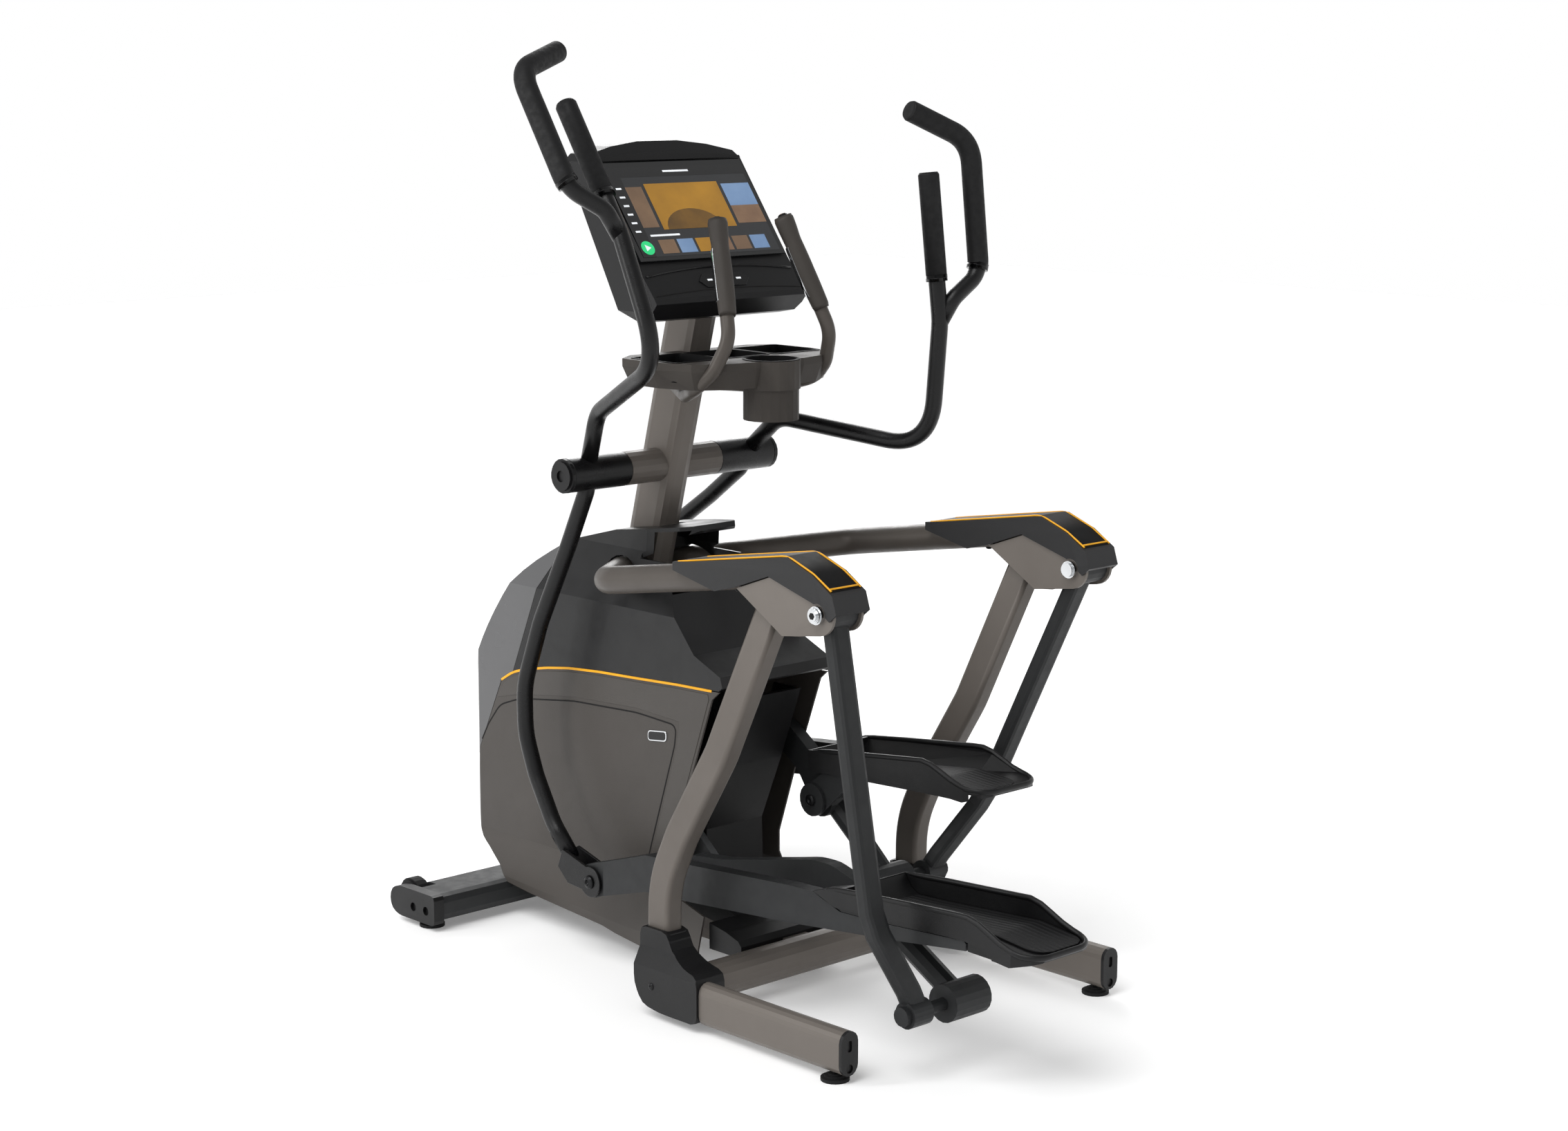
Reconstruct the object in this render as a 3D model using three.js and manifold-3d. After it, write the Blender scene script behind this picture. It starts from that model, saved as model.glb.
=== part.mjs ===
import * as THREE from 'three';
import { mergeVertices } from 'three/addons/utils/BufferGeometryUtils.js';
import Module from 'manifold-3d';

const wasm = await Module();
wasm.setup();
const { Manifold, Mesh: SolidMesh } = wasm;

// ---------------------------------------------------------------- driving dimensions
// Millimetres. +X is the rider's right, +Y forward (towards the console), +Z up, floor at
// z = 0. Working y values are measured from the line of the two front feet; everything is
// moved forward by FRONT_FEET_Y at the end so the footprint sits round the origin.
const FRONT_FEET_Y = 719;
const GAP = 0.3;                       // air between two pieces that touch
const SIDES = [['left', -1], ['right', 1]];

const STAB = { back: -45, front: 70, low: 17, top: 72, half: 317, capEnd: 342 };
const WHEEL = { y: 74, z: 48, r: 34, in: 281, out: 314.5, pin: 6 };
const FOOT = { r: 25.5, frontX: 311, rearX: 341, rearY: -1191 };
const SPINE = { half: 30, low: 30, top: 80, back: -740 };
const CROSS = { y: -770, z: 55, r: 35, half: 297.7 };
const BOOT = { in: 298, out: 366, front: -690, back: -862, low: 17, top: 165 };
const LEG = { x: 341, w: 40, h: 80, low: 15, back: -1220 };
const UPRIGHT = { x: 322, w: 40, d: 57 };
const ARM = { x: 320, r: 25.5 };       // static arm from the mast to the rocker pivot
const PIVOT = { y: -1161, z: 809, lug: 36, plateIn: 30, plateOut: 36 };
const COVER = { half: 40, wall: 3.7 };
const MAST = { w: 60, d: 90, r: 18, y0: -114.2, lean: -0.2647, top: 1330 };
const SWIVEL = { y: -372, z: 949, r: 33, stub: 22, inner: 115, outer: 255, cap: 267 };
const HOUSING = { half: 142, flare: 162, wall: 4 };
const CRANK = { y: -413, z: 347, pinY: -600, pinZ: 205, in: 78, out: 94, pinEnd: 104 };
const PULLEY = { r: 130, in: 37, out: 45 };
const FLYWHEEL = { y: -30, z: 235, r: 88, half: 20, pulley: 20 };
const ROCKER = { reach: 699, w: 40, d: 30, bendAt: 532, shaft: 11, boss: 24, rest: -10.5 };
const COUPLER = { in: 106, out: 134, barrel: 34, barrelIn: 90, barrelOut: 177 };
const PEDAL = { in: 78, out: 246, barIn: 214, barOut: 242, pinY: -418, pinZ: 166, pin: 8 };
const LOBE = { y: -1107, z: 202, r: 32, in: 76, out: 88 };
const SWING = { handle: 30.74, rocker: 37, pedal: -3, coupler: 19.2 };
const BAR = { r: 16, grip: 20, bore: 16.9 };
const GLASS = { half: 183, topY: -377, topZ: 1530, lowY: -510, lowZ: 1354, t: 3 };

const COLOUR = {
  taupe: '#8f8a85', lower: '#65615c', upper: '#3a3a3b', black: '#1c1c1c', rubber: '#141414',
  dark: '#3a3b3c', chrome: '#c9ccce', steel: '#7b7d80', glass: '#0d1114', belt: '#101010',
  key: '#1aa463',
};

// ---------------------------------------------------------------- small geometry helpers
const group = new THREE.Group();
group.name = 'elliptical_trainer';

function solid(geometry) {
  const g = geometry.clone();
  g.deleteAttribute('normal');
  g.deleteAttribute('uv');
  const welded = mergeVertices(g, 1e-4);
  return new Manifold(new SolidMesh({
    numProp: 3,
    vertProperties: new Float32Array(welded.attributes.position.array),
    triVerts: new Uint32Array(welded.index.array),
  }));
}

function extrude(points, depth, basis) {
  const shape = new THREE.Shape(points.map(([a, b]) => new THREE.Vector2(a, b)));
  const g = new THREE.ExtrudeGeometry(shape, { depth, bevelEnabled: false, curveSegments: 4 });
  g.applyMatrix4(basis);
  return solid(g);
}

const V = (x, y, z) => new THREE.Vector3(x, y, z);

// Outline in (y, z) extruded along X, in (x, z) along Y, and in (x, y) along Z.
function alongX(points, x0, x1) {
  const [a, b] = [Math.min(x0, x1), Math.max(x0, x1)];
  const basis = new THREE.Matrix4().makeBasis(V(0, 1, 0), V(0, 0, 1), V(1, 0, 0));
  return extrude(points, b - a, basis).translate([a, 0, 0]);
}
function alongY(points, y0, y1) {
  const basis = new THREE.Matrix4().makeBasis(V(1, 0, 0), V(0, 0, 1), V(0, -1, 0));
  return extrude(points, Math.abs(y1 - y0), basis).translate([0, Math.max(y0, y1), 0]);
}
function alongZ(points, z0, z1) {
  const basis = new THREE.Matrix4().makeBasis(V(1, 0, 0), V(0, 1, 0), V(0, 0, 1));
  return extrude(points, z1 - z0, basis).translate([0, 0, z0]);
}

const rect = (a0, a1, b0, b1) => [[a0, b0], [a1, b0], [a1, b1], [a0, b1]];
function box(x0, x1, y0, y1, z0, z1) {
  const [a, b] = [Math.min(x0, x1), Math.max(x0, x1)];
  return alongZ(rect(a, b, Math.min(y0, y1), Math.max(y0, y1)), z0, z1);
}

function circle(r, n = 16, cu = 0, cv = 0) {
  const turn = (i) => ((i + 0.5) * 2 * Math.PI) / n;
  return Array.from({ length: n }, (_, i) => [
    cu + r * Math.cos(turn(i)), cv + r * Math.sin(turn(i)),
  ]);
}
const cylX = (r, x0, x1, y, z, n = 16) => alongX(circle(r, n, y, z), x0, x1);
const cylZ = (r, z0, z1, x, y, n = 16) => alongZ(circle(r, n, x, y), z0, z1);

// A bore whose flats clear a turning pin of radius r by GAP.
const boreX = (r, x0, x1, y, z, n = 16) => cylX((r + GAP) / Math.cos(Math.PI / n), x0, x1, y, z, n);

// Rounds every corner of an outline with a short arc of about radius r.
function soften(points, r, steps = 2) {
  const out = [];
  const n = points.length;
  points.forEach((p, i) => {
    const a = points[(i + n - 1) % n];
    const b = points[(i + 1) % n];
    const la = Math.hypot(a[0] - p[0], a[1] - p[1]);
    const lb = Math.hypot(b[0] - p[0], b[1] - p[1]);
    const da = Math.min(r, la * 0.45);
    const db = Math.min(r, lb * 0.45);
    const s = [p[0] + ((a[0] - p[0]) * da) / la, p[1] + ((a[1] - p[1]) * da) / la];
    const e = [p[0] + ((b[0] - p[0]) * db) / lb, p[1] + ((b[1] - p[1]) * db) / lb];
    for (let k = 0; k <= steps; k += 1) {
      const t = k / steps;
      out.push([0, 1].map((c) => (1 - t) ** 2 * s[c] + 2 * t * (1 - t) * p[c] + t * t * e[c]));
    }
  });
  return out;
}
const softRect = (a0, a1, b0, b1, r) => soften(rect(a0, a1, b0, b1), r);

// A run of corner points with each inner corner turned into a smooth bend.
function bentPath(corners, radii) {
  const pts = corners.map((c) => V(...c));
  const out = [pts[0]];
  for (let i = 1; i < pts.length - 1; i += 1) {
    const toPrev = pts[i - 1].clone().sub(pts[i]);
    const toNext = pts[i + 1].clone().sub(pts[i]);
    const turn = Math.PI - toPrev.angleTo(toNext);
    const want = (radii[i - 1] ?? radii[0]) * Math.tan(turn / 2);
    const cut = Math.min(want, 0.47 * toPrev.length(), 0.47 * toNext.length());
    const a = pts[i].clone().add(toPrev.setLength(cut));
    const b = pts[i].clone().add(toNext.setLength(cut));
    const steps = Math.max(1, Math.round(turn / 0.42));
    out.push(...new THREE.QuadraticBezierCurve3(a, pts[i], b).getPoints(steps));
  }
  out.push(pts[pts.length - 1]);
  return out;
}

// Joins a run of matching point rings into one closed solid; the outline gives the end faces.
function loft(rings, outline) {
  const n = outline.length;
  const tris = [];
  for (let i = 0; i < rings.length - 1; i += 1) {
    for (let k = 0; k < n; k += 1) {
      const a = i * n + k;
      const b = i * n + ((k + 1) % n);
      tris.push(a, a + n, b, b, a + n, b + n);
    }
  }
  const cap = THREE.ShapeUtils.triangulateShape(outline.map(([u, v]) => V(u, v, 0)), []);
  const last = (rings.length - 1) * n;
  cap.forEach(([a, b, c]) => tris.push(a, b, c, last + a, last + c, last + b));
  const build = (list) => new Manifold(new SolidMesh({
    numProp: 3, vertProperties: new Float32Array(rings.flat(2)), triVerts: new Uint32Array(list),
  }));
  const flipped = [];
  for (let i = 0; i < tris.length; i += 3) flipped.push(tris[i], tris[i + 2], tris[i + 1]);
  const first = build(tris);
  return first.volume() > 0 ? first : build(flipped);
}

// Carries a section outline (u across, v up) along a path and closes both ends.
function sweep(section, path, across = V(1, 0, 0)) {
  let side = across.clone();
  const rings = path.map((p, i) => {
    const back = path[Math.max(i - 1, 0)];
    const next = path[Math.min(i + 1, path.length - 1)];
    const dir = next.clone().sub(p).normalize().add(p.clone().sub(back).normalize()).normalize();
    side = side.clone().addScaledVector(dir, -side.dot(dir)).normalize();
    const up = side.clone().cross(dir).normalize();
    return section.map(([u, v]) => (
      p.clone().addScaledVector(side, u).addScaledVector(up, v).toArray()
    ));
  });
  return loft(rings, section);
}
const tube = (r, corners, radii, n = 14) => sweep(circle(r, n), bentPath(corners, radii));

const union = (...parts) => parts.reduce((sum, p) => sum.add(p));
const cut = (body, ...tools) => tools.reduce((rest, t) => rest.subtract(t), body);
const mirrored = (m, s) => (s < 0 ? m : m.mirror([1, 0, 0]));
const turned = (m, y, z, deg) => m.translate([0, -y, -z]).rotate([deg, 0, 0]).translate([0, y, z]);

function add(name, body, colour, rough = 0.6, metal = 0) {
  const { vertProperties, triVerts } = body.translate([0, FRONT_FEET_Y, 0]).getMesh();
  const g = new THREE.BufferGeometry();
  g.setAttribute('position', new THREE.Float32BufferAttribute(vertProperties, 3));
  g.setIndex([...triVerts]);
  g.computeVertexNormals();
  const material = new THREE.MeshStandardMaterial({
    color: colour, roughness: rough, metalness: metal, flatShading: true,
  });
  material.name = `${name}_finish`;
  const mesh = new THREE.Mesh(g, material);
  mesh.name = name;
  group.add(mesh);
}

// Left-hand pieces are drawn at negative x; L(x) turns an outboard distance into that x.
const L = (x) => -x;
const bothSides = (name, makeLeft, colour, rough, metal) => SIDES.forEach(([side, s]) => {
  add(`${name}_${side}`, mirrored(makeLeft(), s), colour, rough, metal);
});

// ---------------------------------------------------------------- floor frame
const stabSection = softRect(STAB.back, STAB.front, STAB.low, STAB.top, 16);
const wheelWell = (s) => box(s * 276, s * 320, 32, 120, 0, 120);
const frontStem = (s) => cylZ(5 + GAP, 0, 50, s * FOOT.frontX, 0, 12);
add('front_stabilizer', cut(
  alongX(stabSection, -STAB.half, STAB.half),
  wheelWell(-1), wheelWell(1), frontStem(-1), frontStem(1),
), COLOUR.taupe, 0.5);

bothSides('front_end_cap', () => {
  const outline = soften([[-49, 13], [69, 13], [92, 22], [100, 44], [92, 66], [69, 75], [-49, 75]], 10);
  const plate = alongX(outline, L(STAB.half + GAP), L(STAB.capEnd));
  const pin = cylX(WHEEL.pin, L(279), L(STAB.half + 2), WHEEL.y, WHEEL.z, 10);
  const recess = (y) => cylX(9, L(336), L(360), y, 40, 16);
  return cut(union(plate, pin), recess(21), recess(-21));
}, COLOUR.black);

bothSides('transport_wheel', () => cut(
  union(
    cylX(WHEEL.r, L(WHEEL.in + 5), L(WHEEL.out - 5), WHEEL.y, WHEEL.z, 20),
    cylX(WHEEL.r - 4, L(WHEEL.in), L(WHEEL.out), WHEEL.y, WHEEL.z, 20),
  ),
  boreX(WHEEL.pin, L(270), L(330), WHEEL.y, WHEEL.z, 10),
), COLOUR.rubber, 0.8);

const foot = (x, y, top) => union(
  cylZ(FOOT.r, 0, 6, x, y, 18),
  cylZ(19, 5.9, 9.5, x, y, 18),
  cylZ(12, 9.4, 12.6, x, y, 18),
  cylZ(5, 12.5, top, x, y, 12),
);
SIDES.forEach(([side, s]) => {
  add(`foot_front_${side}`, foot(s * FOOT.frontX, 0, 49), COLOUR.rubber, 0.85);
  add(`foot_rear_${side}`, foot(s * FOOT.rearX, FOOT.rearY, 45), COLOUR.rubber, 0.85);
});

// The hidden beam under the housing, its rear floor tube and the plates that carry the drive.
const crankPlate = (x0, x1) => alongX([
  [-520, SPINE.top - 5], [-310, SPINE.top - 5], [-385, 362], [-400, 378], [-426, 378], [-441, 362],
], x0, x1);
const wheelPlate = (x0, x1) => alongX([
  [-70, SPINE.top - 5], [-46, SPINE.top - 5], [-12, 240], [-20, 256], [-40, 256], [-48, 240],
], x0, x1);
add('base_spine', cut(
  union(
    box(-SPINE.half, SPINE.half, SPINE.back, STAB.back - GAP, SPINE.low, SPINE.top),
    cylX(CROSS.r, -CROSS.half, CROSS.half, CROSS.y, CROSS.z, 18),
    crankPlate(-26, -20), crankPlate(20, 26),
    wheelPlate(-29, -24), wheelPlate(24, 29),
  ),
  boreX(12, -60, 60, CRANK.y, CRANK.z),
  boreX(8, -60, 60, FLYWHEEL.y, FLYWHEEL.z, 16),
), COLOUR.taupe, 0.5);

// Upright: rises from the boot, bows rearward and ends under the pivot bracket.
const uprightRun = bentPath([
  [L(UPRIGHT.x), -727, 60], [L(UPRIGHT.x), -727, 245], [L(UPRIGHT.x), -775, 345],
  [L(UPRIGHT.x), -882, 515], [L(UPRIGHT.x), -1016, 790],
], [260, 260, 260]);
const uprightSection = (grow) => softRect(
  -UPRIGHT.w / 2 - grow, UPRIGHT.w / 2 + grow, -UPRIGHT.d / 2 - grow, UPRIGHT.d / 2 + grow, 10,
);
const bracketFoot = [[-952, 824], [-1071, 753.5], [-1120, 758], [-1150, 900], [-900, 900]];
bothSides('upright', () => cut(
  sweep(uprightSection(0), uprightRun),
  alongX(bracketFoot, L(280), L(360)),
), COLOUR.taupe, 0.5);

bothSides('corner_boot', () => {
  const outline = soften([
    [BOOT.front, BOOT.top], [BOOT.front, 60], [-712, 24], [-760, BOOT.low], [BOOT.back, BOOT.low],
    [BOOT.back, 104], [-816, 112], [-776, 132], [-765, BOOT.top],
  ], 16);
  const wide = alongX(outline, L(BOOT.in), L(BOOT.out)).intersect(alongY([
    [L(BOOT.out), 0], [L(BOOT.out), 96], [L(350), 128], [L(350), 200], [L(BOOT.in - 4), 200],
    [L(BOOT.in - 4), 0],
  ], -900, -600));
  const collar = alongZ(softRect(L(350), L(295), -764, BOOT.front, 10), 60, BOOT.top - 4);
  return cut(
    union(wide, collar),
    sweep(uprightSection(GAP), [V(L(UPRIGHT.x), -727, 59.5), V(L(UPRIGHT.x), -727, 300)]),
    cylX(CROSS.r + GAP, L(CROSS.half + GAP), L(0), CROSS.y, CROSS.z, 18),
  );
}, COLOUR.black, 0.55);

const legSection = (grow) => {
  const half = LEG.w / 2 + grow;
  const [lowC, topC] = [LEG.low + LEG.w / 2, LEG.low + LEG.h - LEG.w / 2];
  const arc = (cz, from) => Array.from({ length: 9 }, (_, i) => {
    const t = from + (i * Math.PI) / 8;
    return [L(LEG.x) + half * Math.cos(t), cz + half * Math.sin(t)];
  });
  return [...arc(topC, 0), ...arc(lowC, Math.PI)];
};
bothSides('rear_leg', () => cut(
  alongY(legSection(0), LEG.back, BOOT.back - GAP),
  cylZ(5 + GAP, 0, 46, L(FOOT.rearX), FOOT.rearY, 12),
), COLOUR.taupe, 0.5);
bothSides('leg_cap', () => cut(
  alongY(legSection(0), LEG.back - 6.5, LEG.back - GAP),
  alongY(circle(8, 16, L(LEG.x), 28), LEG.back - 10, LEG.back - 3),
  alongY(softRect(L(LEG.x) - 5, L(LEG.x) + 5, 58, 78, 4), LEG.back - 10, LEG.back - 3),
), COLOUR.black);

// ---------------------------------------------------------------- static arms and pivots
const armCorners = [
  [L(ARM.x), -1072, 866], [L(322), -793, 820], [L(314), -560, 782], [L(95), -342, 746],
  [L(30.6), -276, 735],
];
const armTube = (grow) => tube(ARM.r + grow, armCorners, [400, 90, 60], 16);
bothSides('support_arm', () => cut(
  armTube(0), box(L(MAST.w / 2 + GAP), 60, -400, -100, 600, 900),
), COLOUR.taupe, 0.5);

const boltHole = (r, x0 = 250, x1 = 380) => cylX(r, L(x0), L(x1), PIVOT.y, PIVOT.z, 18);
bothSides('gusset', () => {
  const lug = circle(PIVOT.lug, 24, PIVOT.y, PIVOT.z);
  const plate = (x0, x1) => Manifold.hull([
    alongX(lug, x0, x1), alongX([[-958, 827], [-1041, 857], [-1072, 760]], x0, x1),
  ]);
  const c = ARM.x;
  const strap = alongX([
    [-958, 827], [-1072, 760], [-1112, 764], [-1112, 770], [-1071, 766.5], [-961, 832],
  ], L(c - 31), L(c + 31));
  return cut(
    union(
      plate(L(c - PIVOT.plateOut), L(c - PIVOT.plateIn)),
      plate(L(c + PIVOT.plateIn), L(c + PIVOT.plateOut)), strap,
    ),
    armTube(GAP), boltHole(12 + GAP),
  );
}, COLOUR.taupe, 0.5);

bothSides('arm_cover', () => {
  const top = [[-1207, 815], [-1197, 846], [-1150, 875], [-1087, 898], [-837, 858], [-796, 853]];
  const under = [[-796, 838], [-905, 815], [-958, 829], [-1041, 859], [-1150, 828], [-1190, 801]];
  const hollowTop = [[-1202, 700], [-1202, 817], [-1193, 843], [-1148, 870], [-1086, 893]];
  const hollow = [...hollowTop, [-837, 853.5], [-801, 849], [-801, 700]];
  const c = ARM.x;
  const inner = COVER.half - COVER.wall;
  return cut(
    alongX([...top, ...under], L(c - COVER.half), L(c + COVER.half)),
    alongX(hollow, L(c - inner), L(c + inner)),
    armTube(GAP), boltHole(20),
  );
}, COLOUR.dark, 0.5);

bothSides('pivot_bolt', () => union(
  boltHole(12, 270, 370), boltHole(16, 356.3, 364), boltHole(14, 363.9, 368.5),
  boltHole(10, 368.4, 372), boltHole(16, 275, 283.7), boltHole(13, 270, 275.1),
), COLOUR.chrome, 0.25, 1);

// ---------------------------------------------------------------- mast and swivel axle
const mastAt = (z) => [0, MAST.y0 + z * MAST.lean, z];
const mastSolid = (grow, z0, z1) => sweep(
  softRect(-MAST.w / 2 - grow, MAST.w / 2 + grow, -MAST.d / 2 - grow, MAST.d / 2 + grow, MAST.r),
  [V(...mastAt(z0)), V(...mastAt(z1))],
);
add('mast', union(
  cut(mastSolid(0, 40, MAST.top), box(-80, 80, -300, 100, 0, SPINE.top + GAP)),
  cylX(SWIVEL.r, -SWIVEL.inner, SWIVEL.inner, SWIVEL.y, SWIVEL.z, 18),
  cylX(SWIVEL.stub, -SWIVEL.outer, SWIVEL.outer, SWIVEL.y, SWIVEL.z, 18),
), COLOUR.taupe, 0.5);
bothSides('bar_end_cap', () => cut(
  union(
    cylX(SWIVEL.r, L(SWIVEL.outer + GAP), L(262), SWIVEL.y, SWIVEL.z, 18),
    cylX(SWIVEL.r - 5, L(261.9), L(SWIVEL.cap), SWIVEL.y, SWIVEL.z, 18),
  ),
  cylX(11, L(263), L(280), SWIVEL.y, SWIVEL.z, 16),
), COLOUR.black);

// ---------------------------------------------------------------- drive housing
const stripe = [[-676, 565], [-437, 554], [-238, 542], [-113, 521], [-60, 507], [-22, 485]];
const smooth = (points, n) => new THREE.SplineCurve(
  points.map(([a, b]) => new THREE.Vector2(a, b)),
).getPoints(n).map((p) => [p.x, p.y]);
// Moves an open outline sideways by d, to the left of its direction of travel.
const shifted = (points, d) => points.map((p, i) => {
  const a = points[Math.max(i - 1, 0)];
  const b = points[Math.min(i + 1, points.length - 1)];
  const length = Math.hypot(b[0] - a[0], b[1] - a[1]);
  return [p[0] - (d * (b[1] - a[1])) / length, p[1] + (d * (b[0] - a[0])) / length];
});
const frontLow = smooth([[61, 315], [74, 265], [72, 209], [49, 154], [17, 129], [-21, 102]], 14);
const skirt = [[-36, 85], [-52, 71], [-127, 63], [-354, 48], [-394, 41], [-473, 32], [-636, 49]];
const rearEdge = [[-640, 126], [-560, 146], [-540, 180], [-540, 221], [-580, 341], [-656, 547]];
const fairing = smooth([
  [112, 316], [108, 366], [78, 482], [20, 594], [-79, 715], [-183, 786],
], 20);
const collarTop = [[-320, 822], [-505, 846], [-517, 838], [-495, 827], [-478, 792], [-480, 770]];
const nose = [[-606, 624], [-679, 593], [-685, 574], [-676, 567]];
const lowerRegion = [...frontLow, ...skirt, ...rearEdge, ...stripe.map(([y, z]) => [y, z - 1])];
const upperRegion = [
  ...fairing, ...collarTop, ...nose, ...stripe.map(([y, z]) => [y + 1, z + 1]), [61.4, 316],
];

const across = (inset) => [
  [HOUSING.flare - inset, 0], [HOUSING.flare - inset, 62], [HOUSING.half - inset, 165],
  [HOUSING.half - inset, 688], [88 - inset, 790 - inset * 0.6], [86 - inset, 900],
];
const mirrorOutline = (half) => [...half, ...half.map(([x, b]) => [-x, b]).reverse()];
const NOSE_PLAN = { x: 158, y: 146, start: -30, power: 2.6 };
const plan = (inset) => [
  [HOUSING.flare + 5 - inset, -900],
  ...Array.from({ length: 12 }, (_, i) => {
    const t = (i * Math.PI) / 24;
    const round = (v) => v ** (2 / NOSE_PLAN.power);
    return [
      (NOSE_PLAN.x - inset) * round(Math.cos(t)),
      NOSE_PLAN.start + (NOSE_PLAN.y - inset) * round(Math.sin(t)),
    ];
  }),
];
const envelope = (inset) => alongY(mirrorOutline(across(inset)), -900, 300)
  .intersect(alongZ(mirrorOutline(plan(inset)), -10, 1000));
const innerSide = [
  ...shifted(fairing, 4.2).reverse(), ...shifted(frontLow, -4.2),
  [-40, 90], [-60, -10], [-900, -10], [-900, 540], [-676, 553], [-681, 575], [-676, 590],
  [-604, 620], [-484, 768], [-482, 792], [-498, 826], [-504, 838], [-320, 816],
];
const shell = cut(envelope(0), alongX(innerSide, -200, 200).intersect(envelope(HOUSING.wall)));

bothSides('shell_lower', () => {
  const half = shell.intersect(alongX(lowerRegion, L(200), L(0.2)));
  return cut(half, box(L(60), 10, -120, 80, 0, 100));
}, COLOUR.lower, 0.55);

const collarTrim = alongZ([[34, -530], [70, -486], [90, -400], [200, -400], [200, -560]], 776, 900);
const mastHole = mastSolid(10, 560, 900);
add('shell_upper', cut(
  shell.intersect(alongX(upperRegion, -200, 200)),
  collarTrim, collarTrim.mirror([1, 0, 0]), mastHole, armTube(4), armTube(4).mirror([1, 0, 0]),
), COLOUR.upper, 0.45);

// Narrow black spine panel between the two open lanes the couplers run in.
const panelFace = [[-672, 541], [-618, 398], [-563, 267], [-566, 176], [-597, 132], [-643, 113]];
const panel = cut(
  alongX([...panelFace, [-590, 88], [-500, 100], [-500, 300], [-560, 420], [-600, 541]], -72, 72),
  alongX([
    [-665, 560], [-612, 398], [-557, 267], [-560, 178], [-593, 137], [-600, 126], [-590, 60],
    [-400, 60], [-400, 560],
  ], -68, 68),
);
const floorCover = cut(
  alongX([[-642, 62], [-642, 113], [-690, 104], [-722, 94], [-731, 84], [-731, 62]], -137, 137),
  alongX([[-630, 0], [-637, 106], [-690, 99], [-719, 90], [-726, 82], [-726, 0]], -133, 133),
);
add('rear_liner', cut(
  union(panel, floorCover),
  cylX(CROSS.r + GAP, -200, 200, CROSS.y, CROSS.z, 18),
  box(-SPINE.half - GAP, SPINE.half + GAP, -790, -400, 0, SPINE.top + GAP),
), COLOUR.black, 0.5);

// ---------------------------------------------------------------- drive train
const crankArm = (s) => {
  const [px, pz] = [CRANK.y + s * (CRANK.y - CRANK.pinY), CRANK.z + s * (CRANK.z - CRANK.pinZ)];
  const [x0, x1] = [s * CRANK.in, s * CRANK.out];
  const arm = Manifold.hull([
    cylX(30, x0, x1, CRANK.y, CRANK.z, 20), cylX(20, x0, x1, px, pz, 20),
  ]);
  return union(arm, cylX(10, s * (CRANK.out - 1), s * CRANK.pinEnd, px, pz, 16));
};
const pulleyHoles = [0, 1, 2, 3, 4].map((i) => {
  const t = (i * 2 * Math.PI) / 5;
  return cylX(27, 30, 50, CRANK.y + 78 * Math.cos(t), CRANK.z + 78 * Math.sin(t), 10);
});
add('crankset', union(
  cut(cylX(PULLEY.r, PULLEY.in, PULLEY.out, CRANK.y, CRANK.z, 28), ...pulleyHoles),
  cylX(26, PULLEY.in - 8, PULLEY.out + 12, CRANK.y, CRANK.z, 20),
  cylX(12, -CRANK.in - 1, CRANK.in + 1, CRANK.y, CRANK.z, 20), crankArm(-1), crankArm(1),
), COLOUR.steel, 0.4, 0.8);
add('flywheel', union(
  cylX(FLYWHEEL.r, -FLYWHEEL.half, FLYWHEEL.half, FLYWHEEL.y, FLYWHEEL.z, 28),
  cylX(8, -32, PULLEY.in + 1, FLYWHEEL.y, FLYWHEEL.z, 16),
  cylX(FLYWHEEL.pulley, PULLEY.in, PULLEY.out, FLYWHEEL.y, FLYWHEEL.z, 20),
), COLOUR.steel, 0.4, 0.8);
const beltLoop = (grow, x0, x1) => Manifold.hull([
  cylX(PULLEY.r + grow, x0, x1, CRANK.y, CRANK.z, 28),
  cylX(FLYWHEEL.pulley + grow, x0, x1, FLYWHEEL.y, FLYWHEEL.z, 20),
]);
add('belt', cut(beltLoop(3.6, PULLEY.in, PULLEY.out), beltLoop(0.9, 0, 90)), COLOUR.belt, 0.8);

// ---------------------------------------------------------------- console
const face = [0.5925, 0.8056];                    // up the glass, in (y, z)
const consoleSide = [
  [-345, 1568], [-508, 1346], [-556, 1288], [-562, 1278], [-537, 1247], [-500, 1240],
  [-452, 1262], [-309, 1521], [-303, 1540], [-312, 1562],
];
const consoleFront = mirrorOutline([
  [170, 1230], [190, 1262], [191, 1532], [180, 1546], [120, 1559], [50, 1567],
]);
const glassFace = (grow, depth, lift) => {
  const [u, v] = face;
  const [ny, nz] = [-v, u];
  const push = (y, z, d) => [y + ny * d, z + nz * d];
  const [ly, lz] = [GLASS.lowY - u * grow, GLASS.lowZ - v * grow];
  const [ty, tz] = [GLASS.topY + u * grow, GLASS.topZ + v * grow];
  return [push(ly, lz, lift), push(ty, tz, lift), push(ty, tz, -depth), push(ly, lz, -depth)];
};
const keyAt = { y: -534, z: 1317 };
const keyHex = (r, d0, d1) => {
  const tilt = (Math.atan2(0.5925, 0.8056) * 180) / Math.PI;
  return alongY(circle(r, 6), d0, d1).rotate([-tilt, 0, 0]).translate([0, keyAt.y, keyAt.z]);
};
add('console_body', cut(
  alongX(consoleSide, -191, 191).intersect(alongY(consoleFront, -700, -200)),
  alongX(glassFace(0.4, GLASS.t, 8), -GLASS.half - 0.4, GLASS.half + 0.4),
  mastSolid(GAP, 1100, MAST.top + GAP), keyHex(15.4, -20, 9),
), COLOUR.black, 0.45);
add('console_screen', alongX(glassFace(0, GLASS.t - GAP, 0.4), -GLASS.half, GLASS.half), COLOUR.glass, 0.15);
add('console_key', keyHex(15, -6, 6), COLOUR.key, 0.4);

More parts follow.
